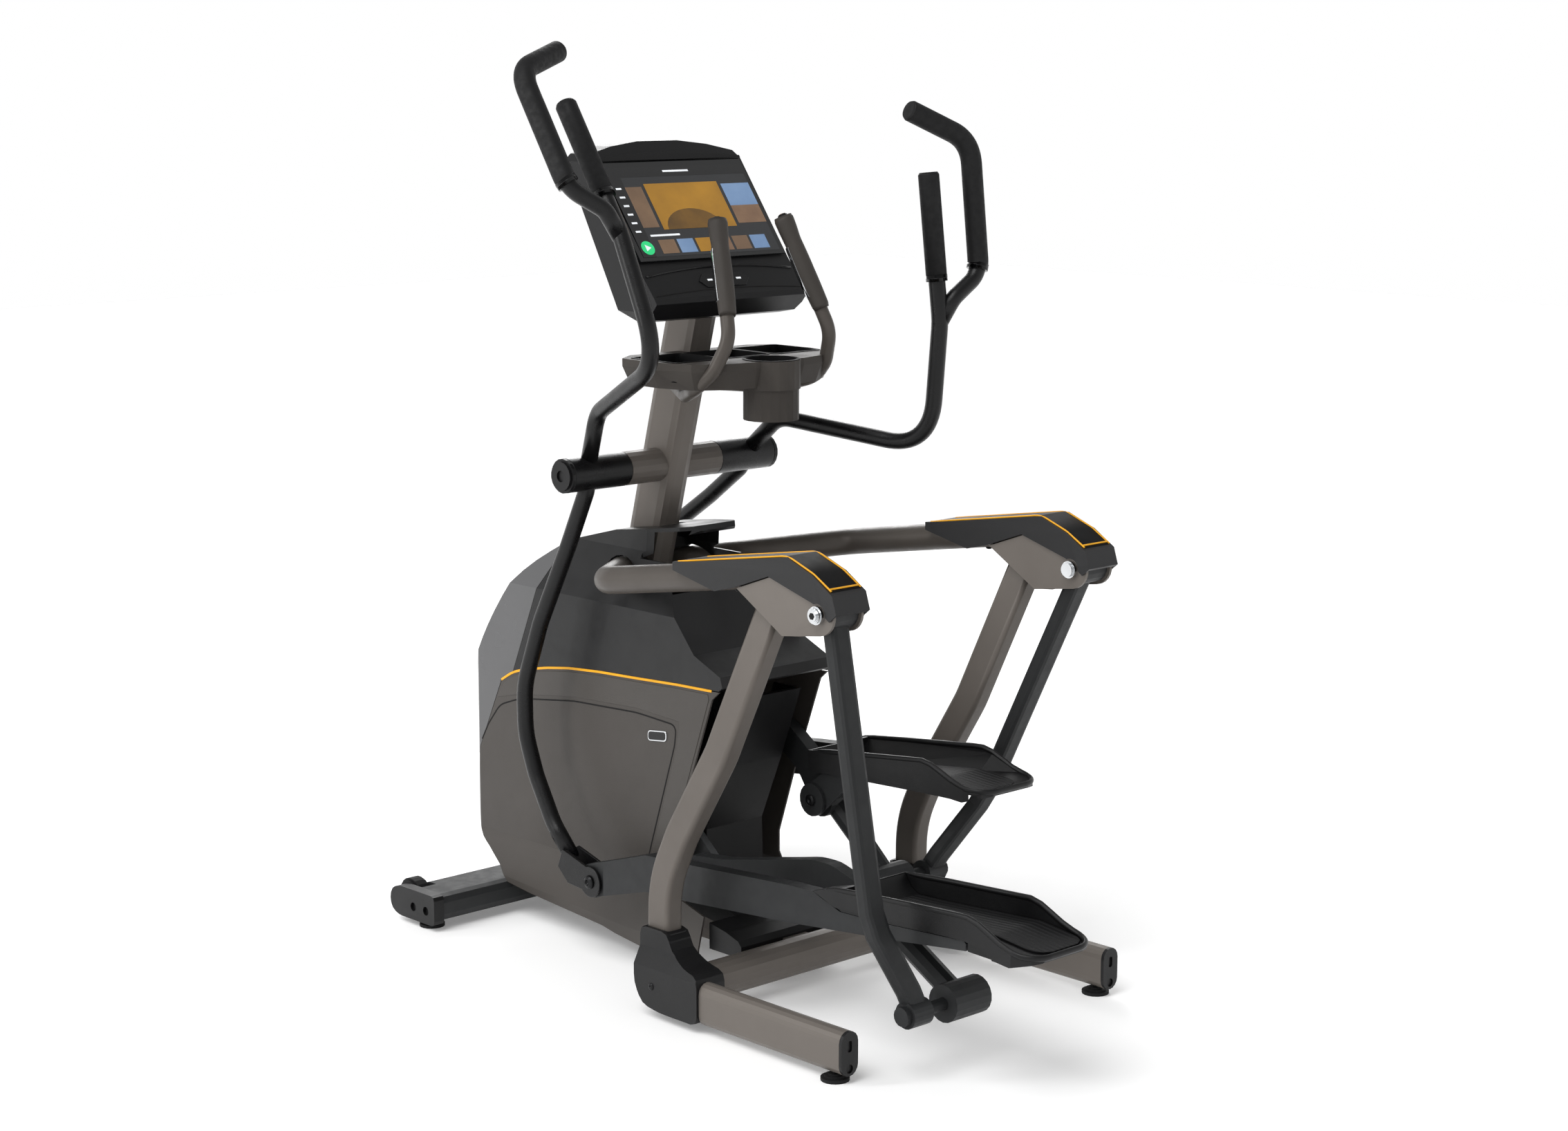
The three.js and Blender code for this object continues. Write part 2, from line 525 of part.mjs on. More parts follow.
// ---------------------------------------------------------------- accessory tray
const gripCorners = [
  [L(30.6), -430, 1104], [L(120), -560, 1104], [L(152), -625, 1126], [L(142), -664, 1160],
  [L(128), -690, 1219], [L(104), -649, 1327], [L(84), -611, 1424],
];
const gripRadii = [60, 60, 60, 60, 120, 200];
const gripRun = bentPath(gripCorners, gripRadii);
const trayPlan = mirrorOutline([
  [150, -437], [196, -470], [200, -560], [176, -640], [120, -676], [60, -690],
]);
const trayFloor = mirrorOutline([
  [140, -447], [182, -478], [186, -556], [164, -628], [112, -662], [54, -716],
]);
const pocket = (x0, x1, y0, y1, z) => alongZ(softRect(x0, x1, y0, y1, 12), z, 1200);
const cup = { y: -665, top: 1137, low: 1066 };
add('accessory_tray', cut(
  union(
    Manifold.hull([alongZ(trayPlan, 1160, 1174), alongZ(trayPlan.map(
      ([x, y]) => [x * 0.93, y * 0.93 - 40],
    ), 1125, 1130)]),
    cylZ(55, 1120, 1174, 0, cup.y, 20), cylZ(52, cup.low - 4, 1140, 0, cup.y, 20),
  ),
  cylZ(49, 1104, 1200, 0, cup.y, 20), cylZ(45, cup.low, 1200, 0, cup.y, 20),
  pocket(-182, -66, -606, -480, 1138), pocket(66, 182, -606, -480, 1138),
  pocket(-58, 58, -606, -480, 1150),
  mastSolid(GAP, 1000, 1250),
  sweep(circle(13 + GAP, 10), gripRun), sweep(circle(13 + GAP, 10), gripRun).mirror([1, 0, 0]),
), COLOUR.black, 0.5);

// ---------------------------------------------------------------- static pulse grips
bothSides('grip_tube', () => cut(
  sweep(circle(13, 10), gripRun), mastSolid(GAP, 1000, 1250),
  box(L(200), L(40), -760, -540, 1300, 1500).translate([0, 0, 96]),
), COLOUR.taupe, 0.5);
const headButton = { x: 84, y: -611, z: 1424 };
const gripAxis = V(L(84) - L(104), -611 + 649, 1424 - 1327).normalize();
const alongGrip = (section, from, to) => sweep(section, [
  V(L(84), headButton.y, headButton.z).addScaledVector(gripAxis, from),
  V(L(84), headButton.y, headButton.z).addScaledVector(gripAxis, to),
]);
bothSides('grip_cover', () => {
  const run = [...bentPath([
    [L(119), -677, 1261], [L(104), -649, 1327], [L(84), -611, 1424],
  ], [200])];
  const end = run[run.length - 1].clone().addScaledVector(gripAxis, 9);
  const shape = sweep(circle(19, 10), [...run, end]);
  return cut(shape, sweep(circle(13.8, 10), gripRun), alongGrip(circle(9 + GAP, 10), 3, 20));
}, COLOUR.black, 0.7);
bothSides('thumb_button', () => union(
  alongGrip(circle(9, 10), 4.5, 11), alongGrip(circle(7, 10), 10.9, 12.5),
), COLOUR.dark, 0.5);

// ---------------------------------------------------------------- moving handlebars
const onBar = ([x, dy, dz]) => [L(x), SWIVEL.y + dy, SWIVEL.z + dz];
const innerBar = [
  [204, -8, 24], [208, -39, 118], [308, -331, 243], [306, -226, 466], [296, -65, 691],
].map(onBar);
const outerBar = [
  [306, -226, 460], [330, -213, 508], [397, -193, 548], [389, -49, 751], [256, 6, 785],
].map(onBar);
const lowerBar = [
  [204, -2, -20], [206, -2, -34], [211, 47, -143], [217, 128, -304], [221, 176, -435],
  [223, 172, -531], [223, 141, -609], [223, 89, -696], [223, 22, -764],
].map(onBar);
const innerRun = bentPath(innerBar, [60, 95, 150]);
const gripStart = innerRun[innerRun.length - 2].clone().lerp(innerRun[innerRun.length - 1], 0.3);
innerRun.splice(innerRun.length - 1, 0, gripStart);
const outerRun = bentPath(outerBar, [40, 50, 70]);
const extend = (run, by) => {
  const [a, b] = run.slice(-2);
  return [...run, b.clone().addScaledVector(b.clone().sub(a).normalize(), by)];
};

function handlebar(s) {
  const sleeve = cylX(SWIVEL.r, L(SWIVEL.inner + GAP), L(SWIVEL.outer), SWIVEL.y, SWIVEL.z, 18);
  const lower = tube(BAR.r, lowerBar, [60, 200, 200, 160, 160, 160, 120], 10);
  const ear = (x0, x1) => Manifold.hull([
    cylX(30, L(x0), L(x1), PEDAL.pinY, PEDAL.pinZ, 20),
    alongX([[-352, 150], [-322, 178], [-336, 214], [-366, 196]], L(x0), L(x1)),
  ]);
  const web = alongX([[-372, 158], [-345, 152], [-322, 178], [-336, 214], [-364, 196]], L(201), L(245));
  const body = union(
    sleeve, sweep(circle(BAR.r, 10), innerRun), sweep(circle(BAR.r, 10), outerRun), lower,
    ear(201, 207), ear(239, 245), web, cylX(PEDAL.pin, L(201), L(245), PEDAL.pinY, PEDAL.pinZ, 16),
  );
  const bored = cut(body, boreX(SWIVEL.stub, L(100), L(300), SWIVEL.y, SWIVEL.z, 18));
  return turned(mirrored(bored, s), SWIVEL.y, SWIVEL.z, s > 0 ? SWING.handle : 0);
}
function barGrip(run, s, skip) {
  const start = run.slice(skip);
  const cover = sweep(circle(BAR.grip, 10), extend(start, 5));
  const bore = sweep(circle(BAR.bore, 10), extend(run, 0.5));
  return turned(mirrored(cut(cover, bore), s), SWIVEL.y, SWIVEL.z, s > 0 ? SWING.handle : 0);
}
const stepsBefore = (run, from) => run.findIndex((p) => p.z > from);
SIDES.forEach(([side, s]) => {
  add(`handlebar_${side}`, handlebar(s), COLOUR.dark, 0.55);
  add(`inner_grip_${side}`, barGrip(innerRun, s, innerRun.length - 2),
    COLOUR.rubber, 0.85);
  add(`outer_grip_${side}`, barGrip(outerRun, s, stepsBefore(outerRun, SWIVEL.z + 552)),
    COLOUR.rubber, 0.85);
});

// ---------------------------------------------------------------- pedal arms and foot trays
const offset = {
  y: -11.3 - PEDAL.pinY, z: 252.5 - PEDAL.pinZ,   // right clevis pin against the left one
};
const placePedal = (m, s) => (s < 0 ? m : turned(
  m.mirror([1, 0, 0]), PEDAL.pinY, PEDAL.pinZ, SWING.pedal,
).translate([0, offset.y, offset.z]));

const barTop = [[-456, 213], [-580, 252], [-712, 260], [-969, 278], [-1030, 280], [-1100, 257.5]];
const barEnd = [[-1208, 260.7], [-1396, 272.5], [-1400, 268], [-1400, 256]];
const barLow = [[-1230, 236], [-969, 209], [-712, 189], [-580, 181], [-456, 146]];
const floorLine = [[-1104, 262], [-1208, 266], [-1430, 280], [-1500, 273], [-1560, 266]];
const lowered = (line, d) => line.map(([y, z]) => [y, z - d]);

function pedalArm(s) {
  const eye = cylX(32, L(208.5), L(237.5), PEDAL.pinY, PEDAL.pinZ, 18);
  const neck = alongX([
    [-400, 196], [-456, 213], [-500, 226], [-500, 166], [-456, 146], [-418, 134],
  ], L(213), L(237.5));
  const bar = cut(
    alongX([...barTop, ...barEnd, ...barLow], L(PEDAL.barIn), L(PEDAL.barOut)),
    cylX(36, L(200), L(250), PEDAL.pinY, PEDAL.pinZ, 18),
  );
  const plate = alongX([
    [-1130, 257.5], [-1208, 260.7], [-1396, 272.5], [-1396, 267], [-1208, 255], [-1130, 251],
  ], L(84), L(PEDAL.barIn + 1));
  const lobe = cylX(LOBE.r, L(LOBE.in), L(LOBE.out), LOBE.y, LOBE.z, 18);
  const hanger = alongX([
    [-1084, 180], [-1130, 180], [-1215, 250], [-1215, 257], [-1131, 255], [-1084, 224],
  ], L(83.2), L(LOBE.out));
  const bolt = cylX(9, L(LOBE.in - 4), L(LOBE.in + 1), LOBE.y, LOBE.z, 12);
  const body = cut(
    union(eye, neck, bar, plate, lobe, hanger, bolt),
    boreX(PEDAL.pin, L(190), L(260), PEDAL.pinY, PEDAL.pinZ, 16),
  );
  return placePedal(body, s);
}
// The foot space: flat floor, a sloped outer wall above the bar and an open, low rear.
const footRun = [
  [-1104, 262, 296], [-1208, 266, 302], [-1430, 280, 306], [-1496, 272.5, 279],
  [-1541, 268.5, 274],
];
const footRing = ([y, z, rim]) => [
  [L(83), y, 420], [L(240), y, 420], [L(240), y, rim], [L(206), y, z], [L(83), y, z],
];
const footSpace = loft(footRun.map(footRing), footRing(footRun[0]).map(([x, , z]) => [x, z]));
function pedalTray(s) {
  const side = [
    [-1050, 287], [-1095, 298], [-1206, 306], [-1400, 318], [-1425, 312], [-1483, 285],
    [-1520, 276], [-1550, 272], [-1545, 262], [-1500, 251], [-1472, 254], [-1400, 256],
    [-1104, 257.8], [-1040, 282],
  ];
  const corner = 46;
  const planShape = [
    [L(PEDAL.in), -1100], [L(PEDAL.in), -1550 + corner], [L(PEDAL.in + 14), -1536],
    [L(PEDAL.in + corner), -1550], [L(PEDAL.out - corner), -1550], [L(PEDAL.out - 14), -1536],
    [L(PEDAL.out), -1550 + corner], [L(PEDAL.out), -1040], [L(212), -1040], [L(206), -1100],
  ];
  const block = alongX(side, L(PEDAL.in), L(PEDAL.out)).intersect(alongZ(planShape, 200, 400));
  const beneath = alongX([
    ...lowered(floorLine.slice(0, 4), 5), [-1530, 264], [-1530, 200], [-1080, 200],
  ], L(82.5), L(213.7));
  const barRoom = alongX([
    [-1000, 281], [-1030, 281], [-1101, 258.2], [-1208, 261.4], [-1404, 273.8], [-1404, 200],
    [-1000, 200],
  ], L(210), L(242.3));
  const skirtLine = alongX([
    [-1000, 200], [-1000, 284], [-1092, 264], [-1400, 274], [-1438, 268], [-1462, 256],
    [-1462, 200],
  ], L(241.2), L(250));
  return placePedal(cut(block, beneath.add(barRoom), skirtLine, footSpace), s);
}

// ---------------------------------------------------------------- rockers and couplers
function rocker(s) {
  const down = (r, x) => [L(x), PIVOT.y, PIVOT.z - r];
  const arm = sweep(
    softRect(-ROCKER.w / 2, ROCKER.w / 2, -ROCKER.d / 2, ROCKER.d / 2, 8),
    bentPath([down(24, ARM.x), down(ROCKER.bendAt, ARM.x), down(667, 252), down(699, 246)], [90, 60]),
  );
  const at = { y: PIVOT.y, z: PIVOT.z - ROCKER.reach };
  const body = union(
    cylX(30, L(291), L(349), PIVOT.y, PIVOT.z, 18), arm,
    cylX(ROCKER.boss, L(224), L(270), at.y, at.z, 20),
    cylX(ROCKER.shaft, L(94), L(276), at.y, at.z, 16),
    cylX(17, L(269.9), L(281), at.y, at.z, 16),
  );
  const bored = cut(body, boreX(12, L(280), L(360), PIVOT.y, PIVOT.z, 18));
  const rest = ROCKER.rest + (s > 0 ? SWING.rocker : 0);
  return turned(mirrored(bored, s), PIVOT.y, PIVOT.z, rest);
}
const shaftAt = (deg) => {
  const t = (deg * Math.PI) / 180;
  return {
    y: PIVOT.y + ROCKER.reach * Math.sin(t), z: PIVOT.z - ROCKER.reach * Math.cos(t),
  };
};
function coupler(s) {
  const shaft = shaftAt(ROCKER.rest);
  const barrel = cylX(COUPLER.barrel, L(COUPLER.barrelIn), L(COUPLER.barrelOut), shaft.y, shaft.z, 18);
  const arm = tube(21, [
    [L(136), shaft.y, shaft.z], [L(128), -1190, 170], [L(120), -1112, 206],
  ], [60], 10);
  const eye = cylX(32, L(92), L(COUPLER.out), LOBE.y, LOBE.z + 4, 18);
  const link = alongX(soften([
    [-1136, 222], [-1031, 275], [-964, 294], [-916, 293], [-852, 279], [-677, 243], [-590, 234],
    [-590, 176], [-677, 190], [-852, 224], [-916, 236], [-964, 238], [-1020, 222], [-1080, 178],
  ], 14, 2), L(COUPLER.in), L(COUPLER.out));
  const front = cylX(30, L(COUPLER.in), L(COUPLER.out), CRANK.pinY, CRANK.pinZ, 18);
  const body = cut(
    union(barrel, arm, eye, link, front),
    boreX(ROCKER.shaft, L(93), L(200), shaft.y, shaft.z, 16),
    cylX(12, L(126), L(140), CRANK.pinY, CRANK.pinZ, 16),
  );
  if (s < 0) return body;
  const right = shaftAt(ROCKER.rest + SWING.rocker);
  return turned(body.mirror([1, 0, 0]), shaft.y, shaft.z, SWING.coupler)
    .translate([0, right.y - shaft.y, right.z - shaft.z]);
}
SIDES.forEach(([side, s]) => {
  add(`pedal_arm_${side}`, pedalArm(s), COLOUR.dark, 0.55);
  add(`pedal_tray_${side}`, pedalTray(s), COLOUR.black, 0.65);
  add(`rocker_${side}`, rocker(s), COLOUR.dark, 0.55);
  add(`coupler_${side}`, coupler(s), COLOUR.dark, 0.5);
});

export default group;
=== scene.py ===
import math

import bmesh
import bpy
from mathutils import Euler, Matrix, Vector


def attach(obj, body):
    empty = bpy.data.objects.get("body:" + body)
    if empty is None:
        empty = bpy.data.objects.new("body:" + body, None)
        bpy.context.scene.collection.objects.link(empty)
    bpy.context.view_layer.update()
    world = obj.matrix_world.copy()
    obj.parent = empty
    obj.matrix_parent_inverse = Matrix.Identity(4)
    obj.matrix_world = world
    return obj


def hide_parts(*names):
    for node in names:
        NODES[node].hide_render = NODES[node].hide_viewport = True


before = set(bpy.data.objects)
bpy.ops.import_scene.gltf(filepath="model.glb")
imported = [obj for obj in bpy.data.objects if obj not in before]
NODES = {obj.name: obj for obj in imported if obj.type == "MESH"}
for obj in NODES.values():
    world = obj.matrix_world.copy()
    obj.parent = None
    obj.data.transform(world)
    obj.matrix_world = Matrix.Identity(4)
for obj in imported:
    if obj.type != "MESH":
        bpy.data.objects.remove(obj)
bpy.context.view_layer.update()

MM = 0.001
FRONT_FEET_Y = 719.0          # mm: the front feet's line, ahead of the frame's origin
SIDES = (("left", -1), ("right", 1))

# Driving sizes in mm, in the working frame (y from the front feet's line).
SWIVEL = (-372.0, 949.0)      # handlebar pivot (y, z)
PIVOT = (-1161.0, 809.0)      # rocker pivot
CLEVIS = (-418.0, 166.0)      # left clevis pin at rest
CLEVIS_RIGHT = (-11.3, 252.5)
SWING = {"handle": 30.74, "pedal": -3.0}   # degrees from the left pose to the right one
FACE_UP = Vector((0.0, 0.5925, 0.8056))      # up the console's glass
FACE_OUT = Vector((0.0, -0.8056, 0.5925))    # out of the glass, towards the rider
GLASS_LOW = Vector((0.0, -510.0, 1354.0))


def row(p):
    """A point in the working frame, mm, as a place in the row frame, m."""
    return Vector((p[0] * MM, (p[1] + FRONT_FEET_Y) * MM, p[2] * MM))


# ------------------------------------------------------------------ materials
def linear(code):
    """A #rrggbb colour as linear RGBA."""
    parts = [int(code[i:i + 2], 16) / 255 for i in (1, 3, 5)]
    return tuple(c / 12.92 if c <= 0.04045 else ((c + 0.055) / 1.055) ** 2.4
                 for c in parts) + (1.0,)


class Surface:
    """A Principled material with its colour, roughness and bump built from nodes."""

    def __init__(self, name, rough, metal=0.0, coat=0.0, shine=0.5):
        self.mat = bpy.data.materials.new(name)
        self.mat.use_nodes = True
        self.tree = self.mat.node_tree
        self.shader = self.tree.nodes["Principled BSDF"]
        self.shader.inputs["Metallic"].default_value = metal
        self.shader.inputs["Roughness"].default_value = rough
        self.shader.inputs["Coat Weight"].default_value = coat
        self.shader.inputs["Specular IOR Level"].default_value = shine
        if coat:
            self.shader.inputs["Coat Roughness"].default_value = 0.12
        self.coords = self.new("ShaderNodeTexCoord").outputs["Object"]
        self.height = None

    def new(self, kind, **values):
        node = self.tree.nodes.new(kind)
        for key, value in values.items():
            if hasattr(node, key):
                setattr(node, key, value)
            else:
                node.inputs[key.replace("_", " ")].default_value = value
        return node

    def link(self, a, b):
        self.tree.links.new(a, b)

    def noise(self, scale, detail=3.0):
        node = self.new("ShaderNodeTexNoise", Scale=scale, Detail=detail)
        self.link(self.coords, node.inputs["Vector"])
        return node.outputs["Fac"]

    def spread(self, value, low, high, start=0.35, end=0.65):
        node = self.new("ShaderNodeMapRange")
        for key, v in (("From Min", start), ("From Max", end), ("To Min", low), ("To Max", high)):
            node.inputs[key].default_value = v
        self.link(value, node.inputs["Value"])
        return node.outputs["Result"]

    def maths(self, operation, a, b=None):
        node = self.new("ShaderNodeMath", operation=operation)
        for value, socket in ((a, node.inputs[0]), (b, node.inputs[1])):
            if isinstance(value, (int, float)):
                socket.default_value = value
            elif value is not None:
                self.link(value, socket)
        return node.outputs["Value"]

    def mixed(self, factor, a, b):
        """A colour between a and b, each a socket or a fixed colour."""
        node = self.new("ShaderNodeMix", data_type="RGBA")
        sockets = [i for i in node.inputs if i.type == "RGBA"]
        self.link(factor, node.inputs["Factor"])
        for value, socket in zip((a, b), sockets):
            if isinstance(value, tuple):
                socket.default_value = value
            else:
                self.link(value, socket)
        return [o for o in node.outputs if o.type == "RGBA"][0]

    def colour(self, dark, light, scale, edge_highlight=None):
        """Cloudy variation between two colours, with paler convex edges, a painted highlight, if a
        highlight colour is given.
        """
        mix = self.new("ShaderNodeMix", data_type="RGBA")
        mix.inputs["A"].default_value = linear(dark)
        mix.inputs["B"].default_value = linear(light)
        self.link(self.noise(scale, 4.0), mix.inputs["Factor"])
        out = mix.outputs["Result"]
        # Convex edges take the paler edge colour: a painted highlight.
        if edge_highlight:
            geometry = self.new("ShaderNodeNewGeometry")
            edge = self.spread(geometry.outputs["Pointiness"], 0.0, 0.5, 0.53, 0.62)
            rub = self.new("ShaderNodeMix", data_type="RGBA")
            rub.inputs["B"].default_value = linear(edge_highlight)
            self.link(edge, rub.inputs["Factor"])
            self.link(out, rub.inputs["A"])
            out = rub.outputs["Result"]
        self.link(out, self.shader.inputs["Base Color"])
        return self

    def roughness(self, low, high, scale):
        self.link(self.spread(self.noise(scale, 2.0), low, high), self.shader.inputs["Roughness"])
        return self

    def bump(self, source, depth, strength=1.0):
        node = self.new("ShaderNodeBump")
        node.inputs["Strength"].default_value = strength
        node.inputs["Distance"].default_value = depth
        self.link(source, node.inputs["Height"])
        if self.height is not None:
            self.link(self.height, node.inputs["Normal"])
        self.height = node.outputs["Normal"]
        self.link(self.height, self.shader.inputs["Normal"])
        return self

    def grain(self, scale, depth, strength=0.6):
        return self.bump(self.noise(scale, 2.0), depth, strength)

    def ribs(self, spacing, depth, axis="Z", strength=1.0):
        """Straight grooves across one axis, spacing apart in metres."""
        wave = self.new("ShaderNodeTexWave", bands_direction=axis, wave_profile="SIN")
        wave.inputs["Scale"].default_value = 0.314 / spacing
        self.link(self.coords, wave.inputs["Vector"])
        return self.bump(wave.outputs["Fac"], depth, strength)


def plastic(name, dark, light, rough=0.5, grain=900, coat=0.0, edge_highlight=None, shine=0.28):
    s = Surface(name, rough, coat=coat, shine=shine).colour(dark, light, 6, edge_highlight)
    return s.roughness(rough - 0.03, rough + 0.04, 25).grain(grain, 0.0004, 0.5)


def powder(name, dark, light, rough=0.42, metal=0.35, edge_highlight=None, shine=0.3):
    s = Surface(name, rough, metal, shine=shine).colour(dark, light, 9, edge_highlight)
    return s.roughness(rough - 0.03, rough + 0.06, 40).grain(1500, 0.0003, 0.55)


# The last colour passed to several materials below is a painted highlight on their convex edges.
TAUPE = powder("taupe_powder", "#57524d", "#635d58", 0.4, 0.2, edge_highlight="#77716b").mat
# A darker copy of the same taupe powder for the support arms and grip tubes: painted shade.
TAUPE_SHADED = powder("taupe_powder_shaded", "#45403c", "#504b46", 0.36, 0.2, edge_highlight="#635e58").mat
DARK_METAL = powder("dark_textured_powder", "#1a1b1c", "#242526", 0.5, 0.1, "#333435").mat
BAR_BLACK = powder("bar_black_powder", "#09090a", "#111112", 0.28, 0.05, "#1c1c1d").mat
SHELL = plastic("shell_taupe_plastic", "#393633", "#413d3a", 0.42, 700, edge_highlight="#4e4a46").mat
# A lighter copy of the shell taupe for the shoulder band: a painted highlight.
SHELL_BAND_HIGHLIT = plastic("shell_band_highlit_plastic", "#3d3a36", "#45413e", 0.36, 700, shine=0.34).mat
BLACK = plastic("black_satin_plastic", "#0b0b0c", "#0f0f10", 0.38, 900, edge_highlight="#1d1d1e").mat
GLOSS_BLACK = plastic("black_gloss_plastic", "#050506", "#09090a", 0.2, 400, coat=0.15).mat
TOP_BLACK = plastic("cover_top_black", "#050506", "#0a0a0b", 0.5, 700, shine=0.1).mat
LINER = plastic("tray_liner_black", "#08080a", "#0e0e0f", 0.6, 700, shine=0.12).mat
# A near-black stand-in for the shadow inside grooves and the pivot socket: painted shade.
GROOVE = plastic("panel_groove_shadow", "#0c0b0b", "#131212", 0.7, 500).mat
COVER = plastic("cover_graphite_plastic", "#141415", "#1d1d1e", 0.38, 800, edge_highlight="#2c2c2d").mat
TRAY_TAUPE = plastic("tray_taupe_plastic", "#35322f", "#3e3a37", 0.55, 800, edge_highlight="#4b4743",
                     shine=0.14).mat
GRIP_TAUPE = plastic("grip_taupe_rubber", "#35312e", "#3e3a36", 0.55, 1200).mat
RUBBER = plastic("foot_rubber", "#0b0b0c", "#131314", 0.74, 600).mat
YELLOW = plastic("accent_yellow", "#dd9a12", "#ecac1f", 0.35, 600).mat
ORANGE = plastic("button_outline_orange", "#b8761c", "#cf8a2a", 0.4, 600).mat
CHROME = Surface("bolt_chrome", 0.12, 1.0).colour("#c3c5c7", "#dcdee0", 30) \
    .grain(500, 0.0001, 0.2).mat
STEEL = Surface("drive_steel", 0.34, 1.0).colour("#77797b", "#8c8e90", 18) \
    .grain(300, 0.0002, 0.4).mat
ZINC = Surface("small_bolt_black", 0.32, 0.8).colour("#1c1d1e", "#29292a", 60) \
    .grain(900, 0.0001, 0.3).mat
FOAM = Surface("grip_foam_black", 0.62, shine=0.25).colour("#0d0d0e", "#151516", 40) \
    .roughness(0.54, 0.7, 90).grain(1600, 0.0002, 0.35).mat
MAT_RUBBER = Surface("tray_mat_rubber", 0.62, shine=0.25).colour("#0b0b0c", "#131314", 20) \
    .ribs(0.012, 0.0014, "X").grain(1400, 0.0004, 0.6).mat
TREAD = Surface("wheel_rubber", 0.66, shine=0.3).colour("#0c0c0d", "#151516", 25) \
    .grain(900, 0.0005, 0.7).mat
BELT = Surface("belt_ribbed", 0.8).colour("#0e0e0f", "#171718", 25).ribs(0.0025, 0.0008, "X").mat

FAIRING_LINE = (0.915, 0.403, 0.807)   # weights of y and z, and their sum at the seam, metres


def housing_top():
    """Satin charcoal sides, a glossier front fairing painted grey as a reflection, a fine seam of
    painted shade.
    """
    s = Surface("shell_charcoal_plastic", 0.36, coat=0.1, shine=0.3)
    split = s.new("ShaderNodeSeparateXYZ")
    s.link(s.coords, split.inputs["Vector"])
    across = s.maths("MULTIPLY", split.outputs["Y"], FAIRING_LINE[0])
    across = s.maths("ADD", across, s.maths("MULTIPLY", split.outputs["Z"], FAIRING_LINE[1]))
    across = s.maths("SUBTRACT", across, FAIRING_LINE[2])
    front = s.spread(across, 0.0, 1.0, -0.0005, 0.0005)
    # The seam's near-black line is painted shade in the gap between the parts.
    seam = s.spread(s.maths("ABSOLUTE", across), 0.0, 1.0, 0.0012, 0.0024)
    side = s.mixed(s.noise(6, 4.0), linear("#0f0f10"), linear("#171718"))
    # The fairing's grey is a painted reflection of the white room on the dark gloss plastic.
    fairing = s.mixed(s.noise(4, 4.0), linear("#525253"), linear("#5e5e5f"))
    body = s.mixed(front, side, fairing)
    s.link(s.mixed(seam, linear("#050505"), body), s.shader.inputs["Base Color"])
    rough = s.new("ShaderNodeMix", data_type="FLOAT")
    s.link(front, rough.inputs["Factor"])
    s.link(s.spread(s.noise(25, 2.0), 0.34, 0.46), rough.inputs["A"])
    s.link(s.spread(s.noise(18, 2.0), 0.2, 0.28), rough.inputs["B"])
    s.link(rough.outputs["Result"], s.shader.inputs["Roughness"])
    return s.grain(800, 0.0004, 0.4).bump(seam, 0.002, 0.8).mat


SHELL_DARK = housing_top()


def glow(name, low, high, scale=30.0, power=1.0, rough=0.2):
    """A lit patch of the display: a soft two-colour picture behind glass."""
    s = Surface(name, rough, coat=0.5).colour(low, high, scale)
    s.shader.inputs["Emission Strength"].default_value = power
    s.link(s.shader.inputs["Base Color"].links[0].from_socket, s.shader.inputs["Emission Color"])
    return s.mat


GLASS = Surface("display_glass", 0.07, coat=0.6).colour("#050607", "#08090b", 3) \
    .roughness(0.05, 0.1, 12).grain(90, 0.00003, 0.1).mat
UI_PANEL = glow("screen_panel", "#1d1e20", "#242527", 20, 0.35)
UI_BAR = glow("screen_bar", "#0a0a0b", "#111112", 20, 0.3)
UI_HERO = glow("screen_hero", "#4a3208", "#a87818", 9, 0.5)
UI_HERO_SHADE = glow("screen_hero_shade", "#2c1d05", "#6a4a10", 22, 0.6)
UI_DUSK = glow("screen_dusk", "#4a382c", "#7c6248", 16, 0.4)
UI_SKY = glow("screen_sky", "#3f5d84", "#7c95b4", 10, 0.45)
UI_LAND = glow("screen_land", "#5c4434", "#7a6048", 30, 0.4)
UI_TEXT = glow("screen_marks", "#b9bcc0", "#d6d9dc", 50, 0.8)
UI_GREEN = glow("screen_green", "#17995a", "#20b36c", 25, 1.0)


# ------------------------------------------------------------------ making pieces
def finish_mesh(obj, material, body, smooth=42.0, bevel=0.0):
    if material:
        obj.data.materials.clear()
        obj.data.materials.append(material)
    shade(obj, smooth, bevel)
    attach(obj, body)
    return obj


def shade(obj, smooth=42.0, bevel=0.0):
    for poly in obj.data.polygons:
        poly.use_smooth = True
    if bevel:
        mod = obj.modifiers.new("edges", "BEVEL")
        mod.width = bevel * MM
        mod.segments = 2
        mod.limit_method = "ANGLE"
        mod.angle_limit = math.radians(46)
        mod.harden_normals = False
        mod.use_clamp_overlap = True
    bpy.context.view_layer.objects.active = obj
    for other in bpy.context.selected_objects:
        other.select_set(False)
    obj.select_set(True)
    with bpy.context.temp_override(object=obj, active_object=obj, selected_objects=[obj],
                                   selected_editable_objects=[obj]):
        bpy.ops.object.shade_auto_smooth(use_auto_smooth=True, angle=math.radians(smooth))
    weighted = obj.modifiers.new("flat_faces", "WEIGHTED_NORMAL")
    weighted.keep_sharp = True
    weighted.weight = 60


